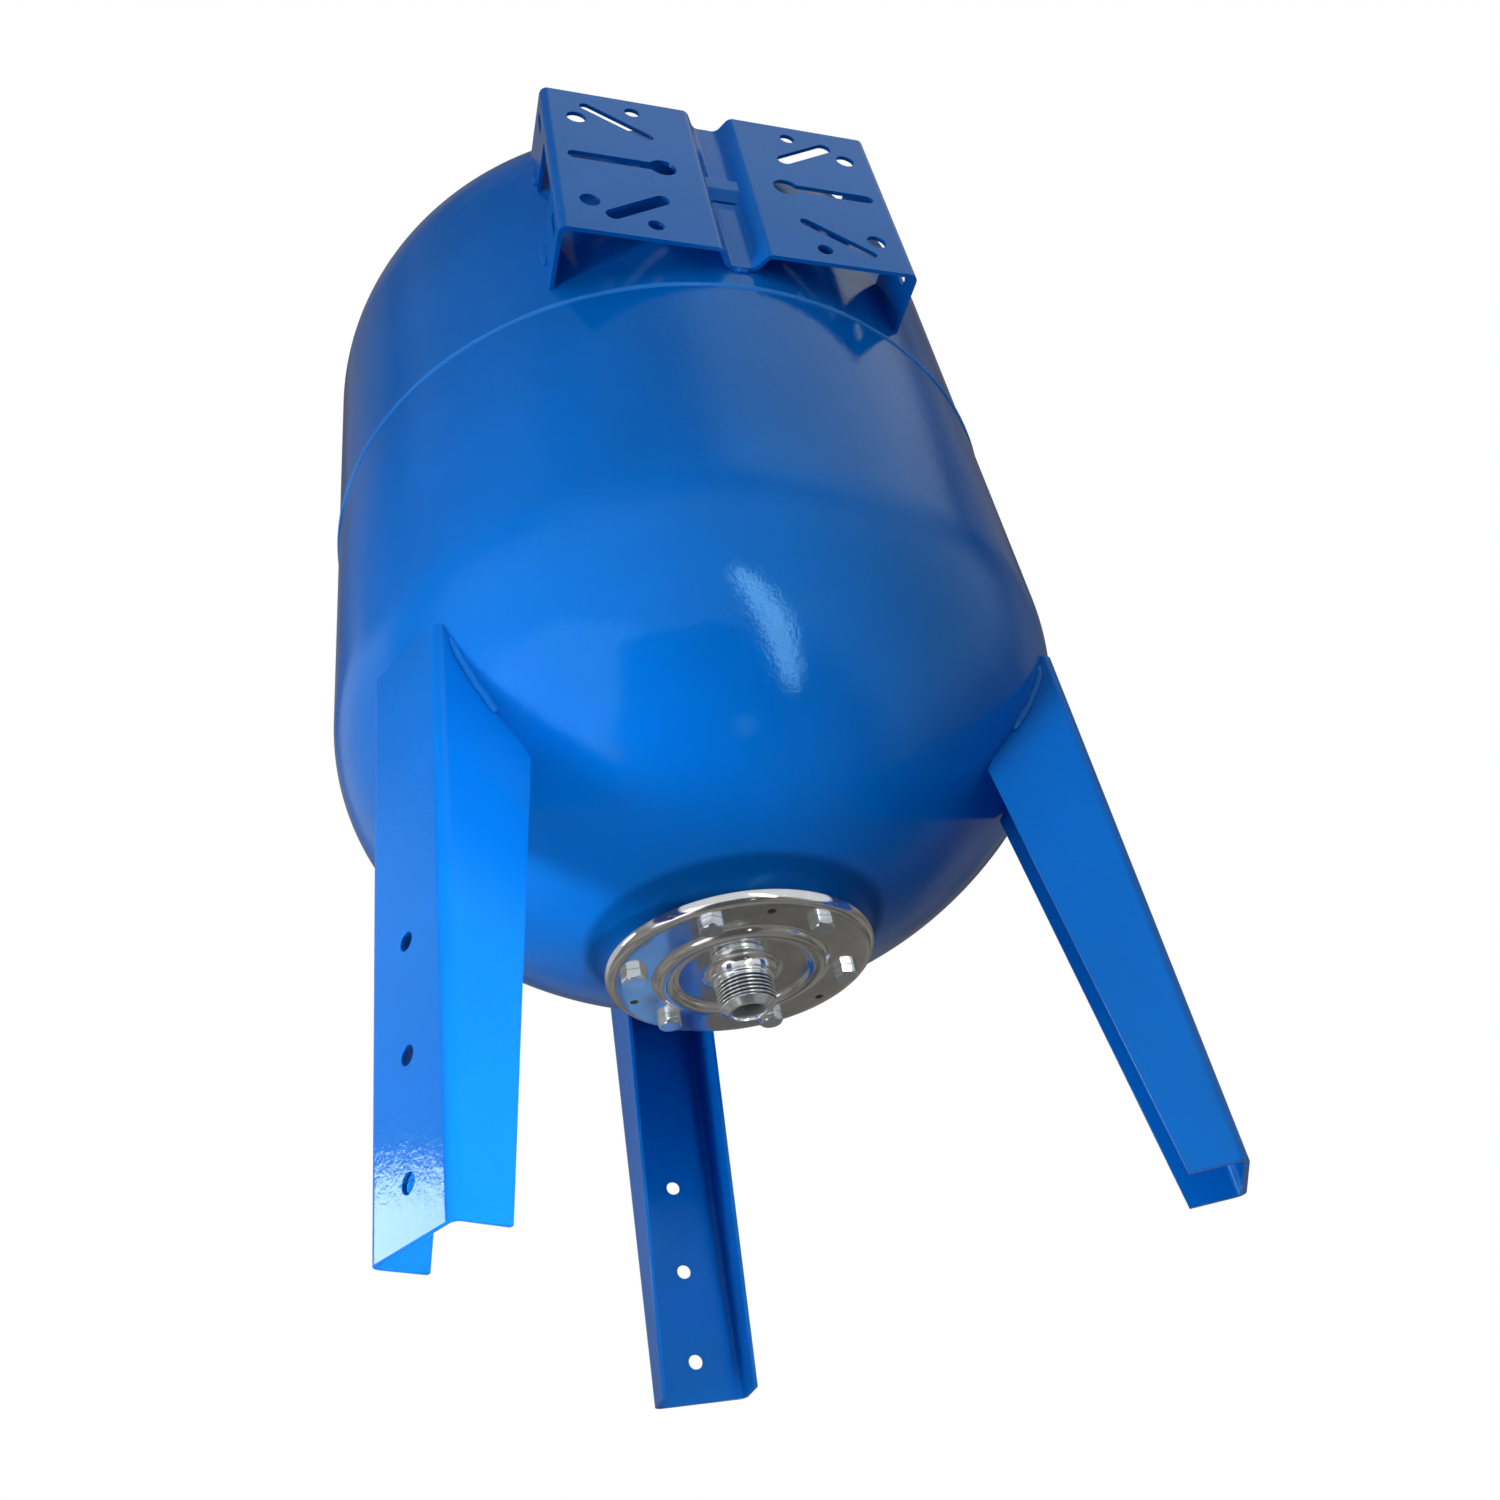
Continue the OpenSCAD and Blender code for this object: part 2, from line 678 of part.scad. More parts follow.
module bracket_section() {
    mid_x = side_x - bracket_t / 2;
    side = bracket_bend_r + bracket_t / 2;
    rib = rib_bend_r + bracket_t / 2;
    floor = rib_floor_bend_r + bracket_t / 2;
    end_y = foot_y + foot_sink;
    sheet_section([[-mid_x, end_y], [-mid_x, plate_mid_y],
                   [-rib_top_w / 2, plate_mid_y], [-rib_floor_w / 2, rib_y],
                   [rib_floor_w / 2, rib_y], [rib_top_w / 2, plate_mid_y],
                   [mid_x, plate_mid_y], [mid_x, end_y]],
                  [0, side, rib, floor, floor, rib, side, 0], bracket_t);
}

// Rib's floor from above the bridge to below it, as seen from the side, with its slit
module bridge_section() {
    end = bridge_l / 2 + bridge_end_l;
    sheet_section([[rib_y, end], [rib_y, bridge_l / 2], [rib_y - bridge_h, bridge_l / 2 - bridge_ramp_l],
                   [rib_y - bridge_h, 0], [rib_y - bridge_tip_h, bridge_tip_z]],
                  [0, bridge_bend_r, bridge_bend_r, bridge_bend_r, 0], bracket_t);
    sheet_section([[rib_y - bridge_tip_h, bridge_tip_z - bridge_slit],
                   [rib_y, -bridge_l / 2], [rib_y, -end]],
                  [0, bridge_bend_r, 0], bracket_t);
}

module bridge() {
    p = rib_wall_start;
    // The bridge laps onto the flat strip of floor left on both sides of its cut-out
    root = (rib_flat_w - bridge_edge) / 2;
    intersection() {
        rotate([90, 0, 90]) translate([0, 0, -rib_top_w / 2]) linear_extrude(rib_top_w) bridge_section();
        translate([0, 0, -bracket_h / 2]) linear_extrude(bracket_h)
            polygon([[-root, rib_y + bracket_t], [-root, rib_y],
                     [-p[0], p[1]], [-rib_top_w / 2, plate_mid_y],
                     [rib_top_w / 2, plate_mid_y], [p[0], p[1]],
                     [root, rib_y], [root, rib_y + bracket_t]]);
    }
}

// Slot with round ends between two points
module slot(a, b, d) {
    v = b - a;
    translate(a) rotate(atan2(v[1], v[0])) translate([0, -d / 2]) square([norm(v), d]);
    translate(a) circle(d = d);
    translate(b) circle(d = d);
}

// The plate's holes as seen from the front, with its middle at the origin
module plate_holes() {
    for (x = [-1, 1]) {
        for (z = [-1, 1]) {
            translate([x * large_hole_x / 2, z * large_hole_z / 2]) circle(d = large_hole_d);
            translate([x * small_hole_x / 2, z * small_hole_z / 2]) circle(d = small_hole_d);
        }
        translate([x * keyhole_x, keyhole_rise]) circle(d = keyhole_d);
        slot([x * keyhole_x, keyhole_rise], [x * keyhole_end_x, keyhole_rise], keyhole_slot_w);
        slot([x * slot_in_x, x * slot_in_z], [x * wide_slot_x, x * wide_slot_z], wide_slot_w);
        slot([x * slot_in_x, -x * slot_in_z], [x * narrow_slot_x, -x * narrow_slot_z], narrow_slot_w);
    }
}

// Cut-out between the feet, as seen from the side
module foot_gap() {
    roof = plate_y + foot_gap_drop;
    top = foot_gap_top_w / 2;
    low = foot_gap_low_w / 2;
    end_y = foot_y + foot_sink + 1;
    low_at_end = top + (low - top) * (end_y - roof - gap_corner_r) / (foot_y - roof - gap_corner_r);
    polygon([[roof + gap_corner_r, -top], [end_y, -low_at_end],
             [end_y, low_at_end], [roof + gap_corner_r, top]]);
    translate([roof, gap_corner_r - top]) square([gap_corner_r + eps, 2 * (top - gap_corner_r)]);
    for (side = [-1, 1]) translate([roof + gap_corner_r, side * (top - gap_corner_r)]) circle(gap_corner_r);
}

// Small slots in the feet, as seen from the side
module foot_slots() {
    y = plate_y + foot_slot_drop;
    half = (foot_slot_l - foot_slot_w) / 2;
    for (side = [-1, 1]) slot([y, side * foot_slot_z - half], [y, side * foot_slot_z + half], foot_slot_w);
}

module pump_bracket() {
    gap_l = bridge_l + 2 * bridge_end_l;
    gap_w = rib_flat_w - 2 * bridge_edge;
    color(blue) translate([0, 0, bracket_mid_z]) difference() {
        union() {
            difference() {
                translate([0, 0, -bracket_h / 2]) linear_extrude(bracket_h) bracket_section();
                // The bridge takes the place of this length of the rib's floor
                translate([-gap_w / 2, rib_y - bracket_t / 2 - eps, -gap_l / 2])
                    cube([gap_w, bracket_t + 2 * eps, gap_l]);
            }
            bridge();
        }
        translate([0, plate_y + bracket_t * 1.5, 0]) rotate([90, 0, 0])
            linear_extrude(bracket_t * 2) plate_holes();
        for (side = [-1, 1]) rotate([90, 0, 90]) translate([0, 0, side * side_x - bracket_t * 2])
            linear_extrude(bracket_t * 4) {
                foot_gap();
                foot_slots();
            }
        translate([0, 0, -bracket_mid_z]) tank_solid();
    }
}

// Beads along the outsides of the feet, and across both ends of the rib's floor
bracket_bead_r = 3;
bracket_bead_l = 20;
// Distance from the cut-out's edge to a bead
bracket_bead_in = 8;
module bracket_welds() {
    rib_bead_l = rib_flat_w;
    bead_z = foot_gap_low_w / 2 + bracket_bead_in + bracket_bead_l / 2;
    color(blue) difference() {
        for (x = [-1, 1], z = [-1, 1])
            translate([x * side_x, foot_y, bracket_mid_z + z * bead_z - bracket_bead_l / 2])
                cylinder(r = bracket_bead_r, h = bracket_bead_l);
        tank_solid();
        translate([-side_x, -tank_d, bracket_low_z]) cube([bracket_w, tank_d, bracket_h]);
    }
    color(blue) difference() {
        for (z = [-1, 1]) translate([-rib_bead_l / 2, -tank_r, bracket_mid_z + z * bracket_h / 2])
            rotate([0, 90, 0]) cylinder(r = bracket_bead_r, h = rib_bead_l);
        tank_solid();
        translate([-side_x, -tank_d, bracket_low_z]) cube([bracket_w, tank_d, bracket_h]);
    }
}

// Air valve on top of the tank: a welded boss, the valve body with its core, a washer and a cap

boss_low_z = high_dome_z(boss_d / 2);
boss_top_z = top_z + boss_h;
valve_z = boss_top_z + washer_t;
stem_z = valve_z + valve_hex_h;
valve_root_l = boss_h + shell_t + 2;
boss_chamfer = 1;
core_l = 12;
core_drop = 1;

module valve_boss() {
    r = boss_d / 2;
    color(blue) rotate_extrude() difference() {
        polygon([[0, edge_high_z], [r, edge_high_z], [r, boss_top_z - boss_chamfer],
                 [r - boss_chamfer, boss_top_z], [0, boss_top_z]]);
        tank_section(0);
        square([valve_root_d / 2, 2 * far]);
    }
}

// Fillet between the boss and the dome
module valve_boss_weld() {
    weld_r = 3;
    color(blue) rotate_extrude() difference() {
        translate([boss_d / 2, boss_low_z]) circle(weld_r);
        square([boss_d / 2, far]);
        tank_section(0);
    }
}

module valve_washer() {
    color(rubber) translate([0, 0, boss_top_z]) difference() {
        cylinder(d = boss_d - 2 * boss_chamfer - 2, h = washer_t);
        translate([0, 0, -eps]) cylinder(d = valve_root_d, h = washer_t + 2 * eps);
    }
}

module valve_body() {
    color(brass) difference() {
        union() {
            translate([0, 0, valve_z - valve_root_l]) cylinder(d = valve_root_d, h = valve_root_l);
            translate([0, 0, valve_z]) cylinder(d = valve_flats / cos(30), h = valve_hex_h, $fn = 6);
            translate([0, 0, stem_z]) cylinder(d = stem_d, h = stem_l - 1);
            translate([0, 0, stem_z + stem_l - 1]) cylinder(d1 = stem_d, d2 = stem_d - 1, h = 1);
        }
        translate([0, 0, valve_z - valve_root_l - eps]) cylinder(d = stem_bore_d, h = far);
    }
}

// The core fills the stem's bore as one bought-in cartridge, with its pin standing out at the top
module valve_core() {
    low_z = stem_z + stem_l - core_drop - core_l;
    pin_r = 0.9;
    color(brass) {
        translate([0, 0, low_z]) cylinder(d = stem_bore_d, h = core_l);
        translate([0, 0, low_z - core_l / 3]) cylinder(r = pin_r, h = core_l * 4 / 3 + core_drop - 0.2);
    }
}

module valve_cap() {
    top = stem_z + stem_l + 0.8;
    skirt_z = stem_z + 2;
    round_r = 1.5;
    color(plastic) rotate_extrude() difference() {
        union() {
            translate([0, skirt_z]) square([cap_d / 2, top + cap_end_t - round_r - skirt_z]);
            translate([0, skirt_z]) square([cap_d / 2 - round_r, top + cap_end_t - skirt_z]);
            translate([cap_d / 2 - round_r, top + cap_end_t - round_r]) circle(round_r);
        }
        translate([0, skirt_z - eps]) square([stem_d / 2, top - skirt_z + eps]);
    }
}

lower_shell();
upper_shell();
seam_weld();
neck_ring();
neck_ring_weld();
bladder();
flange_cover();
water_nipple();
nipple_weld();
flange_screws();
left_leg();
right_leg();
rear_leg();
left_leg_welds();
right_leg_welds();
rear_leg_welds();
pump_bracket();
bracket_welds();
valve_boss();
valve_boss_weld();
valve_washer();
valve_body();
valve_core();
valve_cap();
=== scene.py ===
import json
import math

import bmesh
import bpy
from mathutils import Matrix, Vector, noise as field


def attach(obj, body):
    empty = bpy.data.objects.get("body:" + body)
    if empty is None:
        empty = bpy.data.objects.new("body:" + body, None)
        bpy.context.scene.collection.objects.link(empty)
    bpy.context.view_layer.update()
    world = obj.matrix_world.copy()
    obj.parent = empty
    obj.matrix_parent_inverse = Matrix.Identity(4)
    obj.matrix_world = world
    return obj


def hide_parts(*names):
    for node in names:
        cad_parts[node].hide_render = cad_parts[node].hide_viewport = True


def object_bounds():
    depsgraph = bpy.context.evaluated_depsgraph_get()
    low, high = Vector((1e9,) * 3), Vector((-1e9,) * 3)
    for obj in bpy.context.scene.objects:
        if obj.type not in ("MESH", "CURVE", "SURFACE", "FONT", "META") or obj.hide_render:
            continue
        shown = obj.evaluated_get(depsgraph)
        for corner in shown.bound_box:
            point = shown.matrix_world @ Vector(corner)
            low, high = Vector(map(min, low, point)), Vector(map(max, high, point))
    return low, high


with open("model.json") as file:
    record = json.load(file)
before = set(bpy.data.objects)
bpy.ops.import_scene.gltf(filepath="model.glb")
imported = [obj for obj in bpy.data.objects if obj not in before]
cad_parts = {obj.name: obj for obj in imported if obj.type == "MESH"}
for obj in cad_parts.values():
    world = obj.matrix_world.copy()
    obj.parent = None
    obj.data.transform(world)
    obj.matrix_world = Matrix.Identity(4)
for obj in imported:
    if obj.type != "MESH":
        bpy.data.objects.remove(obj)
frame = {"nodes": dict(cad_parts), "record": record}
NODES = frame["nodes"]
size_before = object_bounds()

MM = 0.001
scene = bpy.context.scene

# Driving sizes of the tank, in millimetres

TANK_R, CROWN_R, KNUCKLE_R, SHELL_T = 225.0, 265.0, 120.0, 1.5
STRAIGHT_H, SEAM_H = 302.0, 156.0
COVER_T, COVER_FACE_R, COVER_EDGE_R = 3.0, 71.5, 6.0
NIPPLE_L, NIPPLE_R, BORE_R = 25.5, 16.625, 10.0
NECK_STAND, NECK_EDGE, NECK_STRAIGHT = 5.2, 0.5, 1.5
BEAD_MID_R, BEAD_H, BEAD_CREST_R, BEAD_FOOT_R = 44.0, 3.5, 7.0, 4.0
NECK_DRAW_R, NECK_DRAW_H = 6.5, 5.5
SCREW_CIRCLE_R, SCREW_N = 62.5, 6
VENT_CIRCLE_R, VENT_R, VENT_N, VENT_TURN = 65.0, 2.5, 3, 30.0
LEG_W, LEG_INSET, LEG_ANGLE = 59.0, 4.4, 60.0
BRACKET_W, BRACKET_H, BRACKET_RISE = 221.0, 160.0, 17.0

CROWN_DROP = math.sqrt((CROWN_R - KNUCKLE_R) ** 2 - (TANK_R - KNUCKLE_R) ** 2)
FACE_Z = NIPPLE_L
SEAT_Z = FACE_Z + COVER_T
LOW_EDGE = SEAT_Z + NECK_STAND + CROWN_R - CROWN_DROP
SEAM_Z = LOW_EDGE + SEAM_H
HIGH_EDGE = LOW_EDGE + STRAIGHT_H
BRACKET_MID = SEAM_Z + BRACKET_RISE + BRACKET_H / 2

# Thread of the water connection, in millimetres

PITCH, THREAD_DEPTH, THREAD_L, CONE_H, RIM_W = 2.309, 1.45, 14.0, 4.2, 1.8
THREAD_TOP = CONE_H + THREAD_L


# Shader helpers

def link(t, a, b):
    t.links.new(a, b)


def node(t, kind, operation=None, **sockets):
    """A new node, with its operation and the values of the sockets that are named."""
    n = t.nodes.new("ShaderNode" + kind)
    if operation:
        n.operation = operation
    for key, value in sockets.items():
        n.inputs[key.replace("_", " ")].default_value = value
    return n


def new_material(name):
    """A material, its tree, its output's surface socket and the object coordinates."""
    m = bpy.data.materials.new(name)
    m.use_nodes = True
    t = m.node_tree
    t.nodes.clear()
    surface = node(t, "OutputMaterial").inputs["Surface"]
    return m, t, surface, node(t, "TexCoord").outputs["Object"]


def ramp(t, source, stops):
    """Colours between (position, red, green, blue) stops."""
    n = node(t, "ValToRGB")
    while len(n.color_ramp.elements) < len(stops):
        n.color_ramp.elements.new(0.5)
    for element, (position, *colour) in zip(n.color_ramp.elements, stops):
        element.position = position
        element.color = (*colour, 1)
    link(t, source, n.inputs["Fac"])
    return n.outputs["Color"]


def noise(t, at, scale, detail=2.0, rough=0.5):
    n = node(t, "TexNoise", Scale=scale, Detail=detail, Roughness=rough)
    link(t, at, n.inputs["Vector"])
    return n.outputs["Fac"]


def bump(t, height, strength, distance, normal=None):
    n = node(t, "Bump", Strength=strength, Distance=distance)
    link(t, height, n.inputs["Height"])
    if normal is not None:
        link(t, normal, n.inputs["Normal"])
    return n.outputs["Normal"]


def ranged(t, value, start, end, low=0.0, high=1.0):
    """A smooth change from low to high, while the value goes from start to end."""
    n = node(t, "MapRange", From_Min=start, From_Max=end, To_Min=low, To_Max=high)
    n.interpolation_type = "SMOOTHSTEP"
    link(t, value, n.inputs["Value"])
    return n.outputs["Result"]


def maths(t, operation, a, b):
    n = node(t, "Math", operation)
    link(t, a, n.inputs[0])
    link(t, b, n.inputs[1])
    return n.outputs["Value"]


def length(t, vector):
    n = node(t, "VectorMath", "LENGTH")
    link(t, vector, n.inputs[0])
    return n.outputs["Value"]


def from_axis(t, at):
    """Distance from the tank's axis, in metres."""
    flat = node(t, "VectorMath", "MULTIPLY")
    link(t, at, flat.inputs[0])
    flat.inputs[1].default_value = (1, 1, 0)
    return length(t, flat.outputs["Vector"])


def scaled(t, colour, factor):
    n = node(t, "VectorMath", "SCALE")
    link(t, colour, n.inputs[0])
    link(t, factor, n.inputs["Scale"])
    return n.outputs["Vector"]


def mixed(t, factor, a, b):
    """Shader a where the factor is 0, shader b where it is 1."""
    n = node(t, "MixShader")
    link(t, factor, n.inputs["Fac"])
    link(t, a, n.inputs[1])
    link(t, b, n.inputs[2])
    return n.outputs["Shader"]


def grey_ramp(t, source, low, high):
    """Greys between two (position, value) stops."""
    return ramp(t, source, [(position, *[value] * 3) for position, value in (low, high)])


# Materials

PAINT_IOR, PAINT_TINT = 1.52, (0.30, 0.74, 1.0, 1)
# The first number darkens the paint round the neck as painted shade and painted dark reflection;
# the others are the specular levels inside and outside that zone.
PAINTED_SHADE_FACTOR, SHADE_ZONE_SPECULAR, FULL_SPECULAR = 0.55, 0.08, 0.5
# The first number is how dark the painted shade in a thread's roots is; the second is how far it
# fades at the thread's ends, in metres.
PAINTED_ROOT_SHADE, THREAD_END = 0.12, 0.0003


def blue_paint(name, colour, rough=0.07, peel=0.16, painted_shade_zone=None):
    """Powder coat: a glossy mid blue with a fine orange peel, which keeps mirrored light bluish.

    The zone, if given, is two radii round the tank's axis. Inside them the base colour is darkened
    as painted shade and a painted dark reflection round the neck, and the specular level is
    lowered; both end between the radii.
    """
    m, t, surface, at = new_material(name)
    p = node(t, "BsdfPrincipled", Metallic=0.0, IOR=PAINT_IOR, Specular_Tint=PAINT_TINT)
    deep = [c * 0.93 for c in colour]
    pale = [min(1.0, c * 1.05) for c in colour]
    tone = ramp(t, noise(t, at, 9.0, 3.0, 0.55), [(0.35, *deep), (0.68, *pale)])
    # Painted shade and painted dark reflection: the base colour is darkened inside the zone's
    # radii.
    if painted_shade_zone:
        axis = from_axis(t, at)
        tone = scaled(t, tone, ranged(t, axis, *painted_shade_zone, PAINTED_SHADE_FACTOR))
        shine = ranged(t, axis, *painted_shade_zone, SHADE_ZONE_SPECULAR, FULL_SPECULAR)
        link(t, shine, p.inputs["Specular IOR Level"])
    link(t, tone, p.inputs["Base Color"])
    gloss = grey_ramp(t, noise(t, at, 22.0, 3.0), (0.3, rough - 0.02), (0.75, rough + 0.03))
    link(t, gloss, p.inputs["Roughness"])
    grain = bump(t, noise(t, at, 620.0, 2.0, 0.6), peel, 0.0004)
    wave = bump(t, noise(t, at, 170.0, 2.0, 0.5), peel * 0.7, 0.001, grain)
    link(t, wave, p.inputs["Normal"])
    link(t, p.outputs["BSDF"], surface)
    return m


def painted_thread_shade(t, at, thread):
    """Painted shade in a thread: a factor that is dark in its roots, and full on its crests and
    away from it.

    thread gives, in millimetres, a radius between the bore and the root, the radii of the root
    and of the crest, and the heights of both ends.
    """
    bore, root, crest, low, high = [v * MM for v in thread]
    along = node(t, "SeparateXYZ")
    link(t, at, along.inputs["Vector"])
    axis, height = from_axis(t, at), along.outputs["Z"]
    share = ranged(t, axis, crest, root)
    for limit in (ranged(t, axis, bore, root),
                  ranged(t, height, low - THREAD_END, low),
                  ranged(t, height, high, high - THREAD_END)):
        share = maths(t, "MULTIPLY", share, limit)
    return ranged(t, share, 0.0, 1.0, 1.0, PAINTED_ROOT_SHADE)


def plated(name, colour, rough, mottled, milky, depth=0.0002, strength=0.1, thread=None):
    """Zinc plate with slight stains and a fine unevenness, and with painted shade in the roots of a
    thread.
    """
    m, t, surface, at = new_material(name)
    p = node(t, "BsdfPrincipled", Metallic=1.0 - milky)
    stained = [c * 0.86 for c in colour]
    tone = ramp(t, noise(t, at, 60.0, 4.0, 0.6), [(0.3, *stained), (0.7, *colour)])
    # Painted shade: the thread's roots are darkened.
    if thread:
        tone = scaled(t, tone, painted_thread_shade(t, at, thread))
    link(t, tone, p.inputs["Base Color"])
    gloss = grey_ramp(t, noise(t, at, 90.0, 4.0, 0.6),
                      (0.3, max(0.02, rough - mottled)), (0.75, rough + mottled))
    link(t, gloss, p.inputs["Roughness"])
    uneven = bump(t, noise(t, at, 180.0, 3.0, 0.6), strength, depth)
    link(t, uneven, p.inputs["Normal"])
    link(t, p.outputs["BSDF"], surface)
    return m


def plain(name, colour, rough, metallic=0.0):
    """Rubber, plastic, brass, or a near-black that paints shade, with a slight change of tone and
    gloss.
    """
    m, t, surface, at = new_material(name)
    p = node(t, "BsdfPrincipled", Metallic=metallic)
    deep = [c * 0.85 for c in colour]
    pale = [min(1, c * 1.1) for c in colour]
    link(t, ramp(t, noise(t, at, 40.0, 3.0), [(0.3, *deep), (0.7, *pale)]), p.inputs["Base Color"])
    gloss = grey_ramp(t, noise(t, at, 50.0, 3.0), (0.3, rough - 0.06), (0.7, rough + 0.06))
    link(t, gloss, p.inputs["Roughness"])
    link(t, bump(t, noise(t, at, 300.0, 3.0), 0.3, 0.0003), p.inputs["Normal"])
    link(t, p.outputs["BSDF"], surface)
    return m


BLUE = (0.0, 0.150, 0.62)
# A lighter blue than the tank's for the seam bead: a painted highlight along the weld.
SEAM_HIGHLIGHT_BLUE = (0.02, 0.235, 0.82)
# Radii in metres round the axis, between which the painted shade round the neck fades out.
NECK_SHADE_ZONE = (0.0835, 0.0905)
THREAD_ZONE = (NIPPLE_R - THREAD_DEPTH - 0.6, NIPPLE_R - THREAD_DEPTH + 0.2, NIPPLE_R - 0.15,
               CONE_H, THREAD_TOP)
MATERIALS = {
    "blue_paint": blue_paint("tank_paint", BLUE),
    "bright_zinc": plated("bright_zinc", (0.86, 0.86, 0.85), 0.12, mottled=0.06, milky=0.06),
    "zinc": plated("bluish_zinc", (0.84, 0.90, 0.93), 0.15, mottled=0.05, milky=0.12,
                   depth=0.0003, strength=0.2),
    "rubber": plain("bladder_rubber", (0.03, 0.03, 0.033), 0.6),
    "brass": plain("turned_brass", (0.60, 0.42, 0.16), 0.28, 1.0),
    "black_plastic": plain("cap_plastic", (0.02, 0.02, 0.022), 0.45),
}
# Tank paint with painted shade and a painted dark reflection round the flange's neck.
NECK_PAINT_WITH_SHADE = blue_paint("neck_paint_with_painted_shade", BLUE, painted_shade_zone=NECK_SHADE_ZONE)
# The seam bead's paint, lighter as a painted highlight.
SEAM_PAINT_WITH_HIGHLIGHT = blue_paint("seam_paint_painted_highlight", SEAM_HIGHLIGHT_BLUE, rough=0.2, peel=0.3)
# A near-black that stands in for the shade seen through the vent holes.
SHADE_BLACK = plain("painted_shade_black", (0.012, 0.012, 0.014), 0.6)
# The nipple's zinc, with painted shade in its thread's roots.
THREADED_ZINC = plated("threaded_zinc", (0.90, 0.94, 0.96), 0.19, mottled=0.04, milky=0.10,
                       depth=0.0003, strength=0.15, thread=THREAD_ZONE)
SLOT = {s["node"]: s["material_slot"] for s in frame["record"]["subparts"]}


def paint(o, material):
    o.data.materials.clear()
    o.data.materials.append(material)


# Piece builders, which take millimetres. A sharp angle is the one from which an edge isn't smooth.

SHARP = 32.0


def linked(name, data):
    o = bpy.data.objects.new(name, data)
    scene.collection.objects.link(o)
    return o


def enlist(o, slot, replaced, material=None):
    """Make the object a piece of the tank, in place of the nodes that are named."""
    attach(o, "root")
    paint(o, material or MATERIALS[slot])
    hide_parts(*replaced)


def bake(o):
    """Turn the object's modifiers into its mesh."""
    graph = bpy.context.evaluated_depsgraph_get()
    done = bpy.data.meshes.new_from_object(o.evaluated_get(graph))
    o.modifiers.clear()
    o.data = done


def smooth(mesh, angle):
    mesh.shade_smooth()
    mesh.set_sharp_from_angle(angle=math.radians(angle))


def piece_of(bm, mesh, slot, replaced, angle, material=None):
    """A piece from a bmesh in metres, which goes into the mesh."""
    bmesh.ops.recalc_face_normals(bm, faces=bm.faces)
    bm.to_mesh(mesh)
    bm.free()
    smooth(mesh, angle)
    o = linked(mesh.name, mesh)
    enlist(o, slot, replaced, material)
    return o


def mesh_piece(name, verts, faces, slot, replaced, angle=SHARP, material=None):
    mesh = bpy.data.meshes.new(name)
    mesh.from_pydata([tuple(c * MM for c in v) for v in verts], [], faces)
    bm = bmesh.new()
    bm.from_mesh(mesh)
    return piece_of(bm, mesh, slot, replaced, angle, material)


def lathe(name, profile, slot, replaced, turns=256, shift=None, angle=SHARP, material=None):
    """Closed profile of (radius, height) points, none on the axis, turned round Z."""
    verts, faces, n = [], [], len(profile)
    for i in range(turns):
        a = 2 * math.pi * i / turns
        for r, z in profile:
            dr, dz = shift(a, r, z) if shift else (0.0, 0.0)
            verts.append(((r + dr) * math.cos(a), (r + dr) * math.sin(a), z + dz))
    for i in range(turns):
        p, q = i * n, (i + 1) % turns * n
        for j in range(n):
            k = (j + 1) % n
            faces.append((p + j, q + j, q + k, p + k))
    return mesh_piece(name, verts, faces, slot, replaced, angle, material)


def cylinder(bm, x, y, r, low, high):
    """Add an upright cylinder of 32 sides to the bmesh."""
    middle = Matrix.Translation((x * MM, y * MM, (low + high) / 2 * MM))
    bmesh.ops.create_cone(bm, cap_ends=True, segments=32, radius1=r * MM, radius2=r * MM,
                          depth=(high - low) * MM, matrix=middle)


def arc(cx, cz, r, a0, a1, steps):
    """Points from the angle a0 to a1 in degrees, counted from the radius towards +Z."""
    angles = [math.radians(a0 + (a1 - a0) * i / steps) for i in range(steps + 1)]
    return [(cx + r * math.cos(a), cz + r * math.sin(a)) for a in angles]


def between(a, b, step):
    """Points between a and b, without these two, no further apart than about the step."""
    n = max(1, round(math.dist(a, b) / step))
    return [(a[0] + (b[0] - a[0]) * i / n, a[1] + (b[1] - a[1]) * i / n) for i in range(1, n)]


def flip(points):
    return list(reversed(points))


KNUCKLE_STEPS, CROWN_STEPS = 26, 34


def dome(inset, edge, up, stop_r):
    """From the cylinder's edge round the knuckle and over the crown, to the radius stop_r."""
    s = 1 if up else -1
    k, c = KNUCKLE_R - inset, CROWN_R - inset
    join = math.degrees(math.atan2(CROWN_DROP, TANK_R - KNUCKLE_R))
    end = math.degrees(math.acos(stop_r / c))
    pts = (arc(TANK_R - KNUCKLE_R, 0, k, 0, join, KNUCKLE_STEPS)
           + arc(0, -CROWN_DROP, c, join, end, CROWN_STEPS)[1:])
    return [(r, edge + s * z) for r, z in pts]


def dome_drop(r):
    """Distance from the cylinder's edge out to the dome's outer surface at the radius r."""
    if r < CROWN_R * (TANK_R - KNUCKLE_R) / (CROWN_R - KNUCKLE_R):
        return math.sqrt(CROWN_R * CROWN_R - r * r) - CROWN_DROP
    return math.sqrt(max(0.0, KNUCKLE_R * KNUCKLE_R - (r - TANK_R + KNUCKLE_R) ** 2))


# Lower shell with its drawn neck

NECK_STEPS, OUTER_STEP, INNER_STEP = 14, 20, 40
crown_z = SEAT_Z + NECK_STAND + CROWN_R
neck_r = COVER_FACE_R - NECK_EDGE
fillet_z = SEAT_Z + NECK_STRAIGHT
fillet_r = (neck_r ** 2 + (crown_z - fillet_z) ** 2 - CROWN_R ** 2) / (2 * (CROWN_R - neck_r))
fillet_x = neck_r + fillet_r
fillet_end = math.degrees(math.atan2(crown_z - fillet_z, -fillet_x))
touch = fillet_x / (CROWN_R + fillet_r)

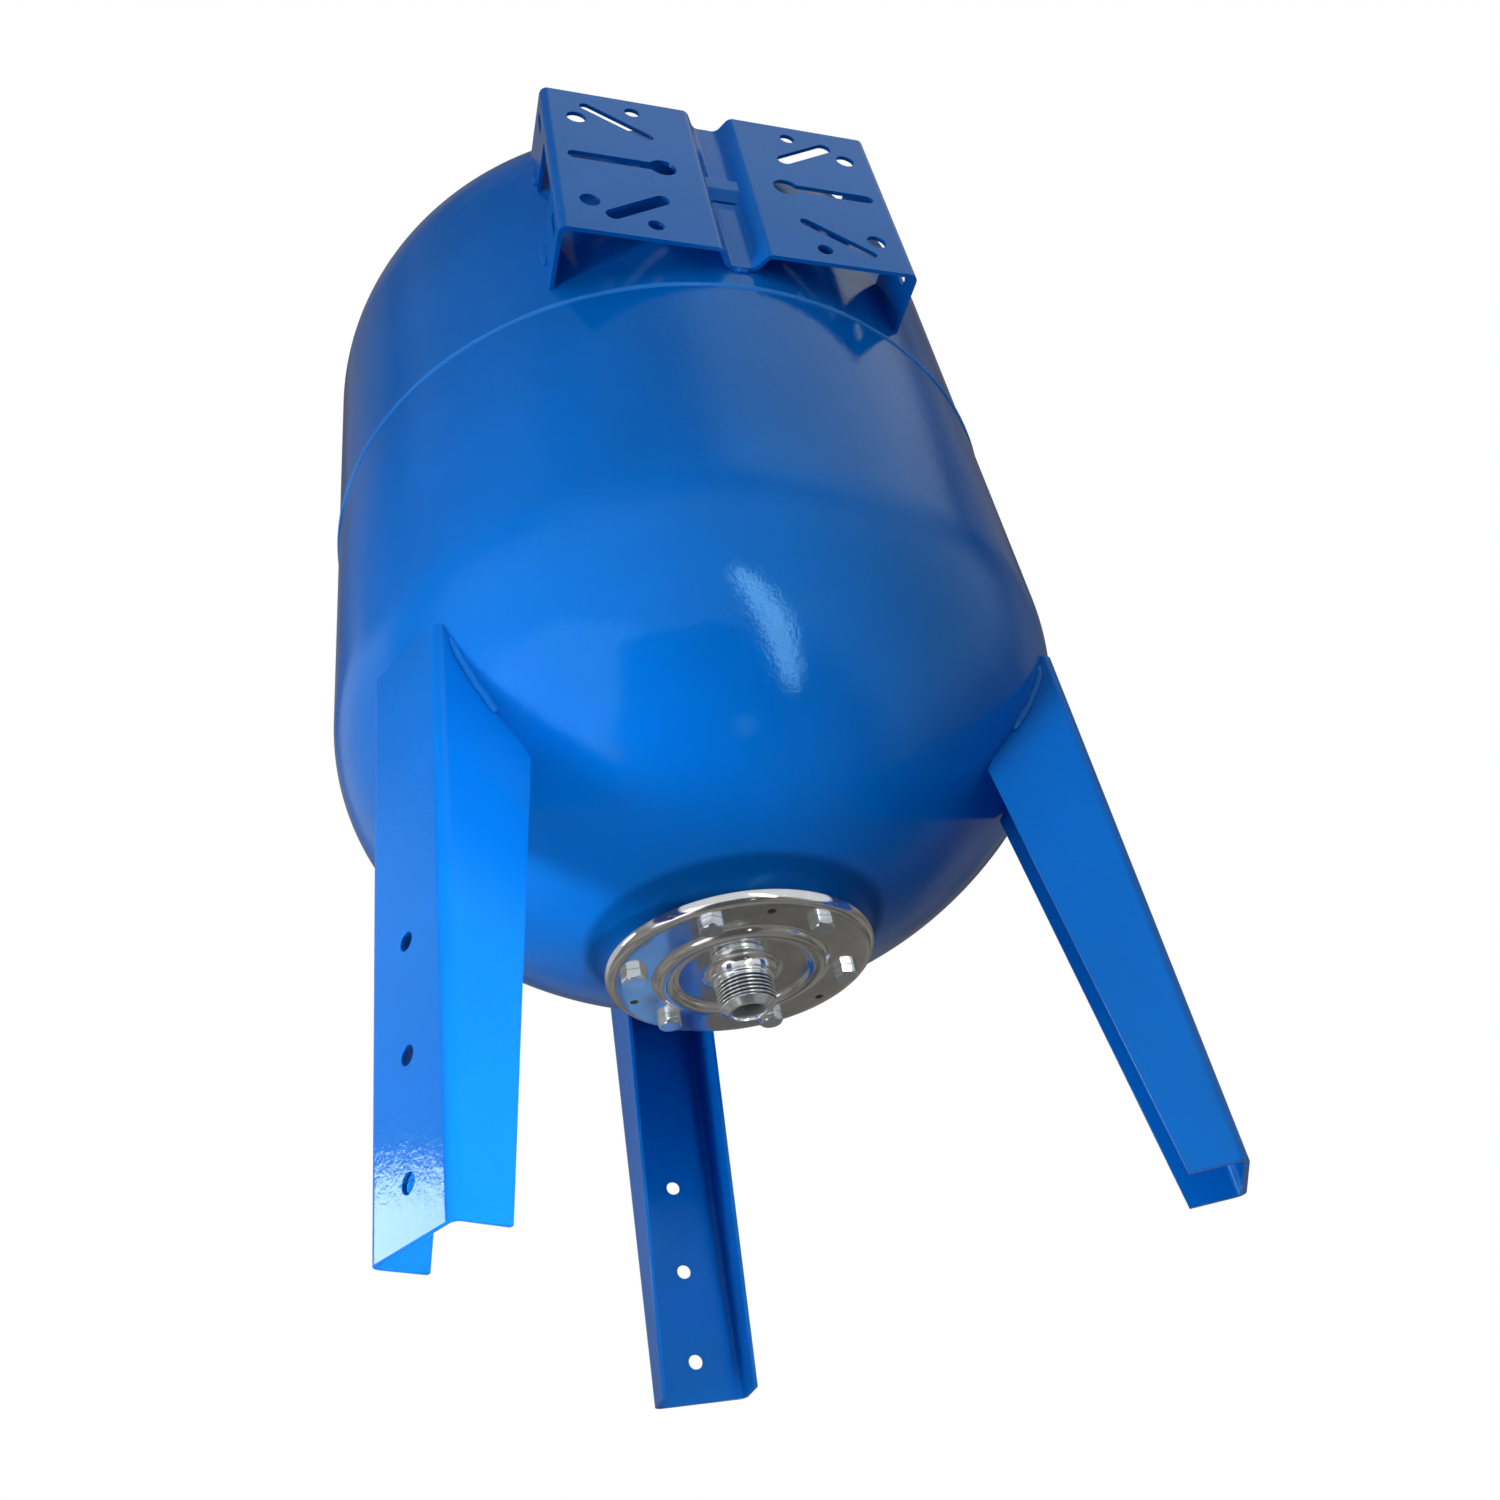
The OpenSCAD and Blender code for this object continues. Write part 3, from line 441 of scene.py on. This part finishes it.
wall = (TANK_R, SEAM_Z)
inner_r = TANK_R - SHELL_T
lower = dome(0, LOW_EDGE, False, CROWN_R * touch)
lower_in = dome(SHELL_T, LOW_EDGE, False, (CROWN_R - SHELL_T) * touch)
neck = (arc(fillet_x, fillet_z, fillet_r, fillet_end, 180, NECK_STEPS)[1:]
        + [(neck_r, SEAT_Z)])
neck_in = ([(neck_r - SHELL_T, SEAT_Z)]
           + arc(fillet_x, fillet_z, fillet_r + SHELL_T, 180, fillet_end, NECK_STEPS)[:-1])
# Its paint is darkened round the neck as painted shade and painted dark reflection.
lathe("lower_shell_skin",
      [wall] + between(wall, lower[0], OUTER_STEP) + lower + neck + neck_in + flip(lower_in)
      + between((inner_r, LOW_EDGE), (inner_r, SEAM_Z), INNER_STEP) + [(inner_r, SEAM_Z)],
      "blue_paint", ["lower_shell"], material=NECK_PAINT_WITH_SHADE)

# Upper shell with the lip that sits inside the lower one

VALVE_HOLE_R, LIP_UP, LIP_DOWN = 6.0, 3, 12
upper = dome(0, HIGH_EDGE, True, VALVE_HOLE_R)
upper_in = dome(SHELL_T, HIGH_EDGE, True, VALVE_HOLE_R)
lip_r = TANK_R - 2 * SHELL_T
lip = [(inner_r, SEAM_Z + LIP_UP), (lip_r, SEAM_Z + LIP_UP), (lip_r, SEAM_Z - LIP_DOWN),
       (inner_r, SEAM_Z - LIP_DOWN), (inner_r, SEAM_Z)]
lathe("upper_shell_skin",
      [wall] + between(wall, upper[0], OUTER_STEP) + upper + flip(upper_in)
      + between((inner_r, HIGH_EDGE), lip[0], INNER_STEP) + lip,
      "blue_paint", ["upper_shell"])

# Seam bead

SEAM_BEAD_W, SEAM_BEAD_H, SEAM_BEAD_IN, SEAM_TURNS = 4.0, 1.3, 0.3, 1400
seam_r = ((SEAM_BEAD_W / 2) ** 2 + SEAM_BEAD_H ** 2) / (2 * SEAM_BEAD_H)
seam_half = math.degrees(math.asin(SEAM_BEAD_W / 2 / seam_r))


def seam_ripple(a, r, z):
    """Fine ripples along the bead and a slow wander of its line."""
    k = max(0.0, (r - TANK_R) / SEAM_BEAD_H)
    ripple = -0.16 * k * (1 + math.sin(a * 700)) / 2
    wander = 0.28 * k * math.sin(a * 23 + 0.7 * math.sin(a * 61))
    return ripple, wander


# Its lighter blue is a painted highlight along the bead.
lathe("seam_bead",
      arc(TANK_R + SEAM_BEAD_H - seam_r, SEAM_Z, seam_r, -seam_half, seam_half, 8)
      + [(TANK_R - SEAM_BEAD_IN, SEAM_Z + SEAM_BEAD_W / 2),
         (TANK_R - SEAM_BEAD_IN, SEAM_Z - SEAM_BEAD_W / 2)],
      "blue_paint", ["seam_weld"], turns=SEAM_TURNS, shift=seam_ripple, angle=50,
      material=SEAM_PAINT_WITH_HIGHLIGHT)

# Flange cover, as one bent sheet. Its corners are given at the middle of the sheet.

BEND_STEP = 0.45


def bent(points, radii, t, side):
    """One surface of a sheet that follows the points, with bends of the radii at its middle."""
    line = []
    for i, (p, r) in enumerate(zip(points, radii)):
        p = Vector(p)
        if i == 0 or i == len(points) - 1:
            d = (Vector(points[1]) - p if i == 0 else p - Vector(points[-2])).normalized()
            line.append(p + Vector((-d.y, d.x)) * side * t / 2)
            continue
        u = (p - Vector(points[i - 1])).normalized()
        v = (Vector(points[i + 1]) - p).normalized()
        turn = math.atan2(u.x * v.y - u.y * v.x, u.dot(v))
        s = math.copysign(1, turn)
        start = p - u * r * math.tan(abs(turn) / 2)
        centre = start + Vector((-u.y, u.x)) * s * r
        spoke = (start - centre) * ((r - side * s * t / 2) / r)
        steps = max(3, round(abs(turn) * r / BEND_STEP))
        for j in range(steps + 1):
            a = turn * j / steps
            line.append(centre + Vector((spoke.x * math.cos(a) - spoke.y * math.sin(a),
                                         spoke.x * math.sin(a) + spoke.y * math.cos(a))))
    return [(q.x, q.y) for q in line]


def divided(line, step):
    """The line with more points, no further apart than about the step."""
    full = [line[0]]
    for a, b in zip(line, line[1:]):
        full += between(a, b, step) + [b]
    return full


def drill(o, centres, r, low, high):
    """Cut round holes along Z."""
    bm = bmesh.new()
    for x, y in centres:
        cylinder(bm, x, y, r, low, high)
    cutter_mesh = bpy.data.meshes.new("cutter")
    bm.to_mesh(cutter_mesh)
    bm.free()
    cutter = linked("cutter", cutter_mesh)
    cut = o.modifiers.new("drill", "BOOLEAN")
    cut.operation, cut.solver, cut.object = "DIFFERENCE", "EXACT", cutter
    bake(o)
    bpy.data.objects.remove(cutter)
    smooth(o.data, SHARP)


def ring_of(n, r, first=0.0):
    """Centres of n places on a circle, the first one at an angle in degrees."""
    angles = [math.radians(first + 360 * i / n) for i in range(n)]
    return [(r * math.cos(a), r * math.sin(a)) for a in angles]


SHOULDER_STEP, DRILL_PAST = 0.8, 5
mid = FACE_Z + COVER_T / 2
edge_bend = COVER_EDGE_R - COVER_T / 2
neck_bend = NECK_DRAW_R + COVER_T / 2
draw_z = FACE_Z - NECK_DRAW_H
crest_r, foot_r = BEAD_CREST_R - COVER_T / 2, BEAD_FOOT_R + COVER_T / 2
slope = math.acos(1 - BEAD_H / (crest_r + foot_r))
bead_half = (crest_r + foot_r) * math.sin(slope) - foot_r * math.tan(slope / 2)
bead_peak = mid - BEAD_H - crest_r * (1 / math.cos(slope) - 1)
shoulder_r = NIPPLE_R + SHOULDER_STEP
spigot_mid = shoulder_r - COVER_T / 2
rim_r = COVER_FACE_R + COVER_EDGE_R - COVER_T / 2
cover_path = [(spigot_mid, min(draw_z, mid - neck_bend)), (spigot_mid, mid),
              (BEAD_MID_R - bead_half, mid), (BEAD_MID_R, bead_peak),
              (BEAD_MID_R + bead_half, mid), (rim_r, mid), (rim_r, FACE_Z + COVER_EDGE_R)]
cover_radii = [0, neck_bend, foot_r, crest_r, foot_r, edge_bend, 0]
outside, inside = [[q for q in bent(cover_path, cover_radii, COVER_T, side) if q[1] > draw_z]
                   for side in (-1, 1)]
cover = lathe("flange_cover_skin", divided(outside, 3.0) + flip(divided(inside, 6.0)),
              "bright_zinc", ["flange_cover"], turns=360)
drill(cover, ring_of(VENT_N, VENT_CIRCLE_R, VENT_TURN), VENT_R,
      FACE_Z - DRILL_PAST, SEAT_Z + DRILL_PAST)

# Water nipple with its thread cut as a helix that runs out at both ends

THREAD_FROM, RUN_OUT, RUN_OUT_END = 1.2, 2.6, 0.3
CREST_SHARE, FLANK_SHARE = 0.12, 0.76


def thread_cut(a, r, z):
    if r < NIPPLE_R - 3 or z < THREAD_FROM or z > THREAD_TOP + 0.4:
        return 0.0, 0.0
    phase = (z / PITCH - a / (2 * math.pi)) % 1.0
    ridge = min(1.0, max(0.0, (abs(phase - 0.5) * 2 - CREST_SHARE) / FLANK_SHARE))
    ridge = ridge * ridge * (3 - 2 * ridge)
    fade = min(1.0, max(0.0, (THREAD_TOP + RUN_OUT_END - z) / RUN_OUT))
    outer = BORE_R + RIM_W + (NIPPLE_R - BORE_R - RIM_W) * min(1.0, z / CONE_H)
    root = NIPPLE_R - THREAD_DEPTH * ridge * fade
    return min(0.0, root - outer), 0.0


MOUTH_BREAK, CONE_STEP, THREAD_STEP, BORE_STEP = 0.25, 0.3, 0.16, 3
spigot_r = shoulder_r - COVER_T
mouth, cone = (BORE_R + RIM_W, MOUTH_BREAK), (NIPPLE_R, CONE_H)
bore_end = (BORE_R, MOUTH_BREAK)
nipple = ([(BORE_R + MOUTH_BREAK, 0), (BORE_R + RIM_W - 0.3, 0), mouth]
          + between(mouth, cone, CONE_STEP) + [cone]
          + between(cone, (NIPPLE_R, THREAD_TOP), THREAD_STEP)
          + [(NIPPLE_R, THREAD_TOP), (shoulder_r - 0.3, THREAD_TOP + 0.4),
             (shoulder_r, THREAD_TOP + 0.8), (shoulder_r, draw_z), (spigot_r, draw_z),
             (spigot_r, SEAT_Z), (BORE_R, SEAT_Z)]
          + between((BORE_R, SEAT_Z), bore_end, BORE_STEP) + [bore_end])
lathe("water_nipple_threaded", nipple, "zinc", ["water_nipple"], turns=200, shift=thread_cut,
      angle=45, material=THREADED_ZINC)

# Screws with a chamfered head and a worn break on each edge

HEAD_FLATS, HEAD_H, HEAD_STEPS, CORNER_WEAR, SEAT_WEAR = 13.0, 5.5, 48, 0.12, 0.35
HEAD_FACE, CORNER_FALL = 0.93, 0.58
SCREW_R, SCREW_L = 4.0, 12.0


def head_rings(turn):
    """Rings of a hex head, as (x, y, height), from its seat to its chamfered face."""
    flat = HEAD_FLATS / 2
    corner = flat / math.cos(math.radians(30)) - CORNER_WEAR
    rings = [[], [], [], []]
    for i in range(HEAD_STEPS):
        a = 2 * math.pi * i / HEAD_STEPS
        r = min(flat / math.cos((a + math.pi / 6) % (math.pi / 3) - math.pi / 6), corner)
        shoulder = HEAD_H - 1.0 - max(0.0, r - flat) * CORNER_FALL + 0.5
        levels = ((r - SEAT_WEAR, 0.0), (r, 0.3), (r, shoulder), (flat * HEAD_FACE, HEAD_H))
        for ring, (radius, height) in zip(rings, levels):
            ring.append((radius * math.cos(a + turn), radius * math.sin(a + turn), height))
    return rings


def screw(at, turn, bm):
    loops = [[bm.verts.new(((at[0] + x) * MM, (at[1] + y) * MM, (FACE_Z - z) * MM))
              for x, y, z in ring] for ring in head_rings(turn)]
    for low, high in zip(loops, loops[1:]):
        for i in range(HEAD_STEPS):
            j = (i + 1) % HEAD_STEPS
            bm.faces.new((low[i], low[j], high[j], high[i]))
    bm.faces.new(loops[-1])
    bm.faces.new(flip(loops[0]))
    cylinder(bm, *at, SCREW_R, FACE_Z, FACE_Z + SCREW_L)


screws = bmesh.new()
for i, at in enumerate(ring_of(SCREW_N, SCREW_CIRCLE_R)):
    screw(at, 0.4 + 1.7 * i, screws)
piece_of(screws, bpy.data.meshes.new("flange_screws_worn"), "zinc", ["flange_screws"], 28)

# Weld beads: lumpy runs along the corner between a folded sheet and the shell

BEAD_AROUND, BEAD_RIPPLE, BEAD_LUMPS = 18, 0.32, 0.5


def bead(line, r, seed):
    """Vertices and faces of a closed bead that follows the line of points."""
    verts, faces, n, around = [], [], len(line), BEAD_AROUND
    for i, p in enumerate(line):
        p = Vector(p)
        d = (Vector(line[min(i + 1, n - 1)]) - Vector(line[max(i - 1, 0)])).normalized()
        u = d.orthogonal().normalized()
        v = d.cross(u)
        s = i / (n - 1)
        end = math.sqrt(max(0.0, 1 - abs(2 * s - 1) ** 6))
        wave = BEAD_RIPPLE * math.sin(s * n * 0.95 + seed)
        for j in range(around):
            a = 2 * math.pi * j / around
            q = u * math.cos(a) + v * math.sin(a)
            lump = BEAD_LUMPS * field.noise((p + q * r) * 0.33 + Vector((seed, 0, 0)))
            verts.append(tuple(p + q * max(0.05, (r + wave * 0.5 + lump) * end)))
    for i in range(n - 1):
        for j in range(around):
            k = (j + 1) % around
            faces.append((i * around + j, (i + 1) * around + j,
                          (i + 1) * around + k, i * around + k))
    faces.append(tuple(range(around)))
    faces.append(tuple(reversed(range((n - 1) * around, n * around))))
    return verts, faces


def beads(name, runs, replaced):
    """One piece from runs, each of which is a line, a radius and a seed."""
    verts, faces = [], []
    for line, r, seed in runs:
        v, f = bead(line, r, seed)
        faces += [tuple(i + len(verts) for i in face) for face in f]
        verts += v
    mesh_piece(name, verts, faces, "blue_paint", [replaced], angle=60)


LEG_FACE_R = TANK_R - LEG_INSET
LEG_BEAD_FROM, LEG_BEAD_TO, LEG_BEAD_STEPS = 8.0, 36.0, 44
LEG_BEAD_OUT, LEG_BEAD_WANDER = 0.2, 0.35
WELD_BEAD_R = 2.9
for i, (name, angle) in enumerate((("left_leg_welds", -LEG_ANGLE), ("right_leg_welds", LEG_ANGLE),
                                   ("rear_leg_welds", 180.0))):
    spin = Matrix.Rotation(math.radians(angle), 3, "Z")
    runs = []
    for side in (-1, 1):
        line = []
        for k in range(LEG_BEAD_STEPS + 1):
            inward = LEG_BEAD_FROM + (LEG_BEAD_TO - LEG_BEAD_FROM) * k / LEG_BEAD_STEPS
            x, y = side * LEG_W / 2, inward - LEG_FACE_R
            wander = LEG_BEAD_WANDER * math.sin(k * 0.4 + i * 2 + side)
            z = LOW_EDGE - dome_drop(math.hypot(x, y)) + wander
            line.append(tuple(spin @ Vector((x + side * LEG_BEAD_OUT, y, z))))
        runs.append((line, WELD_BEAD_R, 3.1 * i + side))
    beads(name + "_run", runs, name)

FOOT_GAP_W, BRACKET_BEAD_IN, BRACKET_BEAD_L, BRACKET_BEAD_STEPS = 54.0, 8.0, 20.0, 32
RIB_BEAD_L, RIB_BEAD_R, RIB_BEAD_STEPS = 9.0, 1.9, 20
foot_y = -math.sqrt(TANK_R ** 2 - (BRACKET_W / 2) ** 2)
runs = []
for i, (sx, sz) in enumerate(((-1, -1), (-1, 1), (1, -1), (1, 1))):
    centre = BRACKET_MID + sz * (FOOT_GAP_W / 2 + BRACKET_BEAD_IN + BRACKET_BEAD_L / 2)
    line = [(sx * (BRACKET_W / 2 + 0.3), foot_y + 0.3,
             centre + (k / BRACKET_BEAD_STEPS - 0.5) * BRACKET_BEAD_L)
            for k in range(BRACKET_BEAD_STEPS + 1)]
    runs.append((line, WELD_BEAD_R, 2.3 * i))
for i, sz in enumerate((-1, 1)):
    line = [((k / RIB_BEAD_STEPS - 0.5) * RIB_BEAD_L, -TANK_R - 0.4,
             BRACKET_MID + sz * (BRACKET_H / 2 + 0.2)) for k in range(RIB_BEAD_STEPS + 1)]
    runs.append((line, RIB_BEAD_R, 7.0 + i))
beads("bracket_weld_runs", runs, "bracket_welds")

# Folded sheets, as copies with a soft break on their edges. Lengths here are in metres.

WELD_WITHIN, BREAK = 2e-6, 0.35 * MM
FLAT_UNDER, BREAK_OVER, SHEET_SHARP = math.radians(1.0), math.radians(40), 30.0


def softened(name):
    """A copy of the node's mesh with a small break on its sharp edges, in place of the node."""
    bm = bmesh.new()
    bm.from_mesh(NODES[name].data)
    bmesh.ops.remove_doubles(bm, verts=bm.verts, dist=WELD_WITHIN)
    bmesh.ops.dissolve_limit(bm, angle_limit=FLAT_UNDER, verts=bm.verts, edges=bm.edges)
    edges = [e for e in bm.edges
             if len(e.link_faces) == 2 and e.calc_face_angle(0) > BREAK_OVER]
    bmesh.ops.bevel(bm, geom=edges, offset=BREAK, offset_type="OFFSET", segments=1, profile=0.5,
                    affect="EDGES", clamp_overlap=True)
    mesh = bpy.data.meshes.new(name + "_softened")
    bm.to_mesh(mesh)
    bm.free()
    smooth(mesh, SHEET_SHARP)
    o = linked(name + "_softened", mesh)
    even = o.modifiers.new("even", "WEIGHTED_NORMAL")
    even.keep_sharp = True
    bake(o)
    enlist(o, SLOT[name], [name])


for name in ("left_leg", "right_leg", "rear_leg", "pump_bracket"):
    softened(name)

# The other nodes keep their own solids. The neck ring is seen only through the vent holes, and is
# painted near-black as painted shade inside them.

for name, o in NODES.items():
    paint(o, MATERIALS[SLOT[name]])
paint(NODES["neck_ring"], SHADE_BLACK)

# Camera, from the photograph's perspective

CAMERA_AT = (-0.221785, -0.645761, -0.33019)
CAMERA_RIGHT = (0.95568, -0.24582, -0.16204)
CAMERA_UP = (-0.02589, -0.6184, 0.78544)
CAMERA_BACK = (-0.29328, -0.74643, -0.59735)
camera_data = bpy.data.cameras.new("camera")
camera = linked("camera", camera_data)
scene.camera = camera
camera_data.sensor_width = 36.0
camera_data.sensor_fit = "HORIZONTAL"
camera_data.lens = 32.17
camera_data.clip_start = 0.02
camera_data.clip_end = 50.0
turn = Matrix((CAMERA_RIGHT, CAMERA_UP, CAMERA_BACK)).transposed().normalized()
camera.matrix_world = Matrix.Translation(CAMERA_AT) @ turn.to_4x4()

# Pale floor, which is clear from below and fades to the white background far out

FLOOR_REACH = 6
FADE_FROM, FADE_TO, FADE_LEAST = 0.5, 3.5, 0.4
WHITE = (1, 1, 1, 1)
floor_z = size_before[0].z
floor_mesh = bpy.data.meshes.new("floor")
floor_mesh.from_pydata([(x * FLOOR_REACH, y * FLOOR_REACH, floor_z)
                        for x, y in ((-1, -1), (1, -1), (1, 1), (-1, 1))], [], [(0, 1, 2, 3)])
floor = linked("floor", floor_mesh)
floor.visible_shadow = False
floor.visible_glossy = False
floor.visible_diffuse = False
m, t, surface, at = new_material("pale_floor")
top = node(t, "BsdfPrincipled", Roughness=0.8, Specular_IOR_Level=0.0)
tone = ramp(t, noise(t, at, 1.5, 2.0), [(0.3, 0.80, 0.79, 0.77), (0.7, 0.86, 0.85, 0.83)])
link(t, tone, top.inputs["Base Color"])
glow = node(t, "Emission", Color=WHITE, Strength=1.0)
fade = ranged(t, length(t, at), FADE_FROM, FADE_TO, FADE_LEAST, 1.0)
washed = mixed(t, fade, top.outputs["BSDF"], glow.outputs["Emission"])
backfacing = node(t, "NewGeometry").outputs["Backfacing"]
clear = node(t, "BsdfTransparent").outputs["BSDF"]
link(t, mixed(t, backfacing, washed, clear), surface)
floor_mesh.materials.append(m)

# The surroundings are white to the camera and a soft light to the object. Metal and paint mirror
# a pale band in front, patches low on the left, on the left and above, a dark round patch near
# the camera's own direction, and a dim room elsewhere.

world = bpy.data.worlds.new("surroundings")
scene.world = world
world.cycles.sampling_method = "NONE"
world.use_nodes = True
t = world.node_tree
t.nodes.clear()
surface = node(t, "OutputWorld").inputs["Surface"]
way = node(t, "TexCoord").outputs["Generated"]
ways = node(t, "SeparateXYZ")
link(t, way, ways.inputs["Vector"])
RAGGED_SCALE, RAGGED = 3.2, 0.10


def towards(x, y, z):
    """Cosine of the angle to a direction, with a ragged share so that an edge isn't clean."""
    n = node(t, "VectorMath", "DOT_PRODUCT")
    link(t, way, n.inputs[0])
    n.inputs[1].default_value = Vector((x, y, z)).normalized()
    ragged = node(t, "Math", "MULTIPLY_ADD")
    link(t, noise(t, way, RAGGED_SCALE, 2.0), ragged.inputs[0])
    ragged.inputs[1].default_value = RAGGED
    link(t, n.outputs["Value"], ragged.inputs[2])
    return ragged.outputs["Value"]


def background(colour, strength):
    n = node(t, "Background", Strength=strength)
    if isinstance(colour, tuple):
        n.inputs["Color"].default_value = (*colour, 1)
    else:
        link(t, colour, n.inputs["Color"])
    return n.outputs["Background"]


front = maths(t, "MULTIPLY", ranged(t, ways.outputs["Y"], 0.1, -0.3),
              ranged(t, ways.outputs["Z"], 0.62, 0.30))
band = maths(t, "MULTIPLY", front, ranged(t, ways.outputs["Z"], -0.78, -0.62))
left_share = ranged(t, towards(-0.70, 0.64, 0.28), 0.94, 1.0, 0.0, 0.6)
pale_share = maths(t, "MAXIMUM", band, left_share)
round_share = ranged(t, towards(-0.121, -0.417, -0.901), 0.985, 0.968)
low_share = maths(t, "MULTIPLY", round_share,
                  ranged(t, towards(-0.66, -0.30, -0.69), 0.965, 0.985))
above_share = ranged(t, towards(0.42, -0.42, 0.80), 0.89, 1.01)

room_shade = ramp(t, noise(t, way, 2.6, 3.0), [(0.35, 0.08, 0.077, 0.07), (0.65, 0.24, 0.23, 0.21)])
sky = ramp(t, ranged(t, ways.outputs["Z"], -1.0, 1.0),
           [(0.0, 0.50, 0.53, 0.56), (0.5, 0.85, 0.88, 0.92), (1.0, 1, 1, 1)])
room = background(room_shade, 1.0)
pale = background((0.82, 0.86, 0.90), 0.85)
above = background((0.74, 0.78, 0.76), 0.92)
low = background((0.95, 0.92, 0.98), 1.5)
dark = background((0.05, 0.05, 0.05), 1.0)
soft = background(sky, 0.34)
seen = background((1, 1, 1), 1.0)

light = mixed(t, above_share, mixed(t, pale_share, room, pale), above)
mirrored = mixed(t, low_share, mixed(t, round_share, dark, light), low)
path = node(t, "LightPath")
unseen = mixed(t, path.outputs["Is Glossy Ray"], soft, mirrored)
link(t, mixed(t, path.outputs["Is Camera Ray"], unseen, seen), surface)

# Lamps in metres and watts. The plain ones light surfaces and aren't mirrored; the windows are
# mirrored only, where the photograph has its highlights.


def lamp(name, at, aim, size, power, spread=180, mirrored=False):
    data = bpy.data.lights.new(name, "AREA")
    data.shape = "RECTANGLE"
    data.size, data.size_y = size
    data.energy = power
    data.spread = math.radians(spread)
    o = linked(name, data)
    o.location = at
    o.rotation_euler = (Vector(aim) - Vector(at)).to_track_quat("-Z", "Y").to_euler()
    o.visible_camera = False
    o.visible_glossy = mirrored
    return o


MIDDLE = (0.0, 0.0, 0.25)
LEFT_LEG = (-0.19, -0.13, -0.02)
LEFT_FOOT = (-0.18, -0.12, -0.13)
REAR_LEG = (0.0, 0.22, -0.1)
UPPER_SPOT = (-0.021, -0.188, 0.114)
LOWER_SPOT = (-0.028, -0.15, 0.082)
lamp("key", (-1.0, -1.5, 1.2), MIDDLE, (1.4, 1.4), 8.3)
lamp("left_low", (-1.35, -0.35, -0.4), LEFT_LEG, (0.5, 0.5), 1.2, spread=40)
lamp("front_low", (0.35, -1.1, -0.55), LEFT_LEG, (0.3, 0.3), 0.27, spread=20)
lamp("foot_low", (0.15, -0.75, -0.75), LEFT_FOOT, (0.2, 0.2), 0.36, spread=20)
lamp("rear_low", (0.2, -1.0, -0.6), REAR_LEG, (0.2, 0.2), 0.06, spread=14)
lamp("fill", (1.6, -1.6, 0.6), MIDDLE, (1.4, 1.4), 2.8)
lamp("back", (0.6, 2.2, 1.8), MIDDLE, (1.4, 1.4), 12.0)
for name, at, aim, size, power, along in (
        ("window_upper", (0.109, -0.83, -0.37), UPPER_SPOT, (0.13, 0.80), 1.5, (0.39, 0.60, -0.70)),
        ("window_lower", (0.06, -0.45, -0.75), LOWER_SPOT, (0.03, 0.05), 0.02, (0, 1, 0)),
        ("window_side", (-1.03, 0.32, 0.14), LEFT_FOOT, (0.30, 0.20), 1.2, (0, 0, 1))):
    window = lamp(name, at, aim, size, power, mirrored=True)
    window.data.shape = "ELLIPSE"
    window.visible_diffuse = False
    ahead = (Vector(at) - Vector(aim)).normalized()
    side = Vector(along).cross(ahead).normalized()
    window.rotation_euler = Matrix((side, ahead.cross(side), ahead)).transposed().to_euler()

scene.view_settings.view_transform = "Standard"
